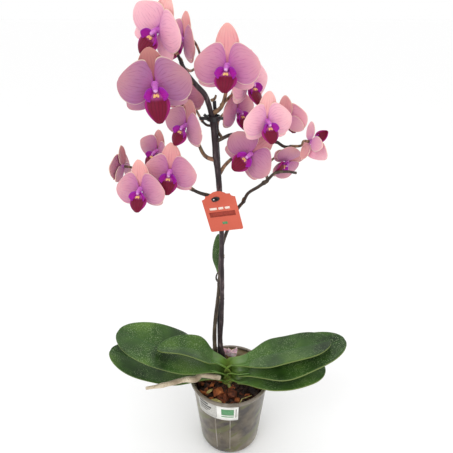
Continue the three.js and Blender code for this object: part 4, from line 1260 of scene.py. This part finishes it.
column_skin = Finish("column_skin", Subsurface_Weight=0.1, Subsurface_Scale=0.002, Specular_IOR_Level=0.45)
blush = column_skin.cloud(180, 3)
column_skin.done(
    column_skin.ramp(
        blush, (0.35, (178, 84, 176)), (0.6, (202, 112, 196)), (0.8, (218, 144, 208)),
    ),
    rough=column_skin.scaled(blush, 0.2, 0.35), height=blush, depth=0.0002,
)
anther_skin = Finish("anther_cap_skin", Subsurface_Weight=0.1, Subsurface_Scale=0.002)
bloom = anther_skin.cloud(400, 3)
anther_skin.done(
    anther_skin.ramp(bloom, (0.4, (208, 140, 204)), (0.65, (226, 184, 222))),
    rough=bloom, height=bloom, depth=0.0002,
)
callus_skin = Finish("callus_skin", Specular_IOR_Level=0.5)
dots = callus_skin.cells(900)
callus_skin.done(
    callus_skin.mixed(callus_skin.fade(dots, 0.34, 0.22), (236, 188, 120), (150, 24, 40)),
    rough=callus_skin.scaled(dots, 0.3, 0.3), height=dots, depth=0.0003,
)


def rounded_outline(reach, base, tip):
    fullness = math.sin(math.pi * reach ** 0.85) ** 0.62 if 0 < reach < 1 else 0
    return base + (tip - base) * reach + fullness


def tepal_surface(place, span, way, length, width, skew, rise, cup, arch, ripple):
    """A petal or sepal: way is its direction in the flower, anticlockwise from its right."""
    angle = math.radians(way)
    out = Vector((math.cos(angle), math.sin(angle), 0))
    sideways = Vector((math.sin(angle), -math.cos(angle), 0))
    start = 0.035 * span
    phase = random.uniform(0, 6.3)

    def surface(side, evenly):
        reach = 0.5 - 0.5 * math.cos(math.pi * evenly)
        half = 0.5 * width * rounded_outline(reach, 0.1, 0.08)
        depth = rise + cup * reach * reach * length
        depth += arch * span * (math.sin(math.pi * reach) * (1 - side * side) - 0.3 * side * side)
        depth += ripple * span * abs(side) ** 3 * math.sin(11 * reach + phase + 2 * side)
        flat = out * (start + reach * (length - start) - skew * side * half * reach)
        return place @ ((flat + sideways * side * half + Vector((0, 0, depth))) * MM)
    return surface


def shield_surface(place, span, drop):
    """The lip's middle lobe, from its claw under the column to its point, which hangs by drop."""
    def surface(side, reach):
        broad = math.sin(math.pi * min(1, 0.06 + 0.92 * reach ** 0.85)) ** 0.9
        half = 0.02 + 0.16 * broad
        fall = 0.07 + drop * reach
        out = 0.09 + 0.17 * math.sin(1.7 * reach) - 0.3 * half * side * side
        out += 0.014 * math.exp(-((side / 0.2) ** 2)) - 0.05 * max(0, reach - 0.85)
        return place @ (Vector((side * half, -fall, out)) * span * MM)
    return surface


def wing_surface(place, span, hand):
    """One of the lip's two side lobes: a round leaf that stands up beside the column."""
    def surface(side, evenly):
        along = 0.18 * (0.5 - 0.5 * math.cos(math.pi * evenly))
        half = 0.012 + 0.088 * math.sin(math.pi * evenly)
        sideways = 0.035 + 0.75 * along - 0.025 * side * side
        return place @ (Vector((hand * sideways, -0.095 + side * half, 0.08 + 0.66 * along)) * span * MM)
    return surface


def column_run(place, span, points, radii):
    """A strand given as parts of the span, at its place in millimetres."""
    line = [place @ (Vector(point) * span * MM) / MM for point in points]
    return line, [radius * span for radius in radii]


# the column's foot and its bent shaft, the cap at its end, and the right one of the callus's two
# horns, each with its radii
COLUMN_FOOT = ([(0, 0.01, -0.05), (0, 0.012, 0.02)], (0.03, 0.06))
COLUMN_SHAFT = ([(0, 0.015, 0.01), (0, 0.008, 0.07), (0, -0.045, 0.14)], (0.045, 0.036, 0.044, 0.034))
ANTHER_CAP = ([(0, -0.04, 0.135), (0, -0.06, 0.156)], (0.036, 0.03, 0.014))
CALLUS_HORN = ([(0.016, -0.1, 0.13), (0.032, -0.12, 0.185)], (0.024, 0.022, 0.01))
for number, (at, faces, lift, roll, span, cup, raised, dorsal) in enumerate(FLOWERS, 1):
    random.seed(number)
    place = facing_frame(at, faces, lift, roll)
    name = f"flower_{number:02d}"
    shade = next((shade for shade, flowers in FLOWER_SHADES.items() if number in flowers), "pale")
    bm = blade_mesh()
    for way, skew in ((raised, -0.3), (180 - raised, 0.3)):
        length = PETAL_SIZE[0] * span
        width = PETAL_SIZE[1] * span * random.uniform(0.97, 1.03)
        add_blade(bm, tepal_surface(
            place, span, way, length, width, skew, PETAL_RISE, cup, 0.03, 0.006,
        ), 12, 14, 0)
    sepals = [(90, dorsal, TOP_SEPAL_WIDTH, 1), *((way, *SIDE_SEPAL_SIZE, 0) for way in SIDE_SEPAL_WAYS)]
    for way, length, width, skin in sepals:
        turn = way + random.uniform(-4, 4)
        add_blade(bm, tepal_surface(
            place, span, turn, length * span, width * span, 0, SEPAL_RISE, 0.04, 0.02, 0.004,
        ), 8, 12, skin)
    finish_piece(
        bm, name + "_tepals", bloom_finishes[shade], [name + "_petals"], wall=PETAL_WALL,
        rounds=1,
    )
    lip = [name + "_lip"]
    drop = LOW_LIP if number == LOW_LIP_FLOWER else LIP_DROP
    bm = blade_mesh()
    add_blade(bm, shield_surface(place, span, drop), 10, 14, 0)
    for hand in (-1, 1):
        add_blade(bm, wing_surface(place, span, hand), 8, 8, 1)
    finish_piece(bm, name + "_lobes", [shield_finish, wing_finish], lip, wall=LIP_WALL, rounds=1)
    column = stem_mesh("column", [
        column_run(place, span, *COLUMN_FOOT), column_run(place, span, *COLUMN_SHAFT),
    ], voxel=0.55)
    place_piece(column, name + "_column", [column_skin.material], lip)
    cap = stem_mesh("cap", [column_run(place, span, *ANTHER_CAP)], voxel=0.5)
    place_piece(cap, name + "_anther", [anther_skin.material], lip)
    horn, horn_radii = CALLUS_HORN
    callus = stem_mesh("callus", [
        column_run(place, span, [(hand * x, y, z) for x, y, z in horn], horn_radii)
        for hand in (-1, 1)
    ], voxel=0.4)
    place_piece(callus, name + "_callus", [callus_skin.material], lip)

# Fallen blossom
# A spent flower that dropped behind the crown: pale pink petals, cream at their edges and violet
# at their feet, stand up side by side out of the bark.

blossom_low, blossom_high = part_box("fallen_blossom")
blossom_foot = Vector(((blossom_low.x + blossom_high.x) / 2, blossom_high.y, blossom_low.z)) / MM
blossom_foot.y -= 0.6 * (blossom_high.y - blossom_low.y) / MM
FADED_LENGTH = 1.2 * (blossom_high.z - blossom_low.z) / MM
FADED_HALF_WIDTH = 5.6
# lean to the right in radians, how far forward it stands and its length as a part of the longest
FADED_PETALS = ((-0.62, 1.5, 0.92), (0.58, 1, 1), (-0.18, -0.5, 0.86), (0.2, -2.2, 0.74), (0.9, -1, 0.7))
faded_petal = petal_skin(
    "faded_petal_skin", 30, (234, 196, 212), (250, 228, 232), (240, 204, 222), (214, 160, 190),
)
random.seed(27)


def faded_surface(tilt, forward, length):
    twist = random.uniform(-0.5, 0.5)

    def surface(side, reach):
        half = FADED_HALF_WIDTH * math.sin(math.pi * min(1, 0.16 + 0.84 * reach)) ** 0.7
        curl = 1.8 * side * side + 1.2 * math.sin(3 * reach + 2 * side + tilt) + twist * side
        flat = Vector((side * half, forward - curl, reach * length))
        return (blossom_foot + Matrix.Rotation(tilt, 3, "Y") @ flat) * MM
    return surface


bm = blade_mesh()
for tilt, forward, share in FADED_PETALS:
    add_blade(bm, faded_surface(tilt, forward, share * FADED_LENGTH), 8, 10)
finish_piece(bm, "fallen_petals", [faded_petal], ["fallen_blossom"], wall=0.7, rounds=1)

# Studio
# A pale seamless floor, a bright even surround and two large soft lights; the camera stands in
# front and above, looking down at the plant.

FLOOR_SIZE = 80
FLOOR_WHITE = 0.995
LIGHT_AIM = (0, 0, 0.35)
CAMERA_PLACE = (-0.0052, -0.466, 0.606)
CAMERA_TILT = 63.3  # degrees up from looking straight down
CAMERA_LENS = 33.38
SENSOR_WIDTH = 36

floor_mesh = bpy.data.meshes.new("floor")
bm = bmesh.new()
bmesh.ops.create_grid(bm, x_segments=1, y_segments=1, size=FLOOR_SIZE)
bm.to_mesh(floor_mesh)
bm.free()
floor = bpy.data.objects.new("studio_floor", floor_mesh)
bpy.context.scene.collection.objects.link(floor)
floor_paint = Finish("studio_floor_paint", Roughness=0.9, Specular_IOR_Level=0.1)
floor_paint.shader.inputs["Base Color"].default_value = (FLOOR_WHITE, FLOOR_WHITE, FLOOR_WHITE, 1)
floor_mesh.materials.append(floor_paint.material)

world = bpy.data.worlds.new("studio_surround")
world.use_nodes = True
surround = world.node_tree.nodes["Background"]
surround.inputs["Color"].default_value = (1, 1, 1, 1)
surround.inputs["Strength"].default_value = 1
bpy.context.scene.world = world
bpy.context.scene.view_settings.view_transform = "Standard"


def soft_light(name, place, size, power):
    lamp = bpy.data.lights.new(name, "AREA")
    lamp.shape = "DISK"
    lamp.size = size
    lamp.energy = power
    holder = bpy.data.objects.new(name, lamp)
    holder.location = place
    holder.rotation_euler = (Vector(LIGHT_AIM) - Vector(place)).to_track_quat("-Z", "Y").to_euler()
    bpy.context.scene.collection.objects.link(holder)


soft_light("key_light", (-0.7, -1, 1.6), 0.9, 5)
soft_light("fill_light", (0.9, -0.7, 1.1), 1, 1.5)

lens = bpy.data.cameras.new("camera")
lens.lens = CAMERA_LENS
lens.sensor_width = SENSOR_WIDTH
camera = bpy.data.objects.new("camera", lens)
camera.location = CAMERA_PLACE
camera.rotation_euler = (math.radians(CAMERA_TILT), 0, 0)
bpy.context.scene.collection.objects.link(camera)
bpy.context.scene.camera = camera

bpy.context.view_layer.update()
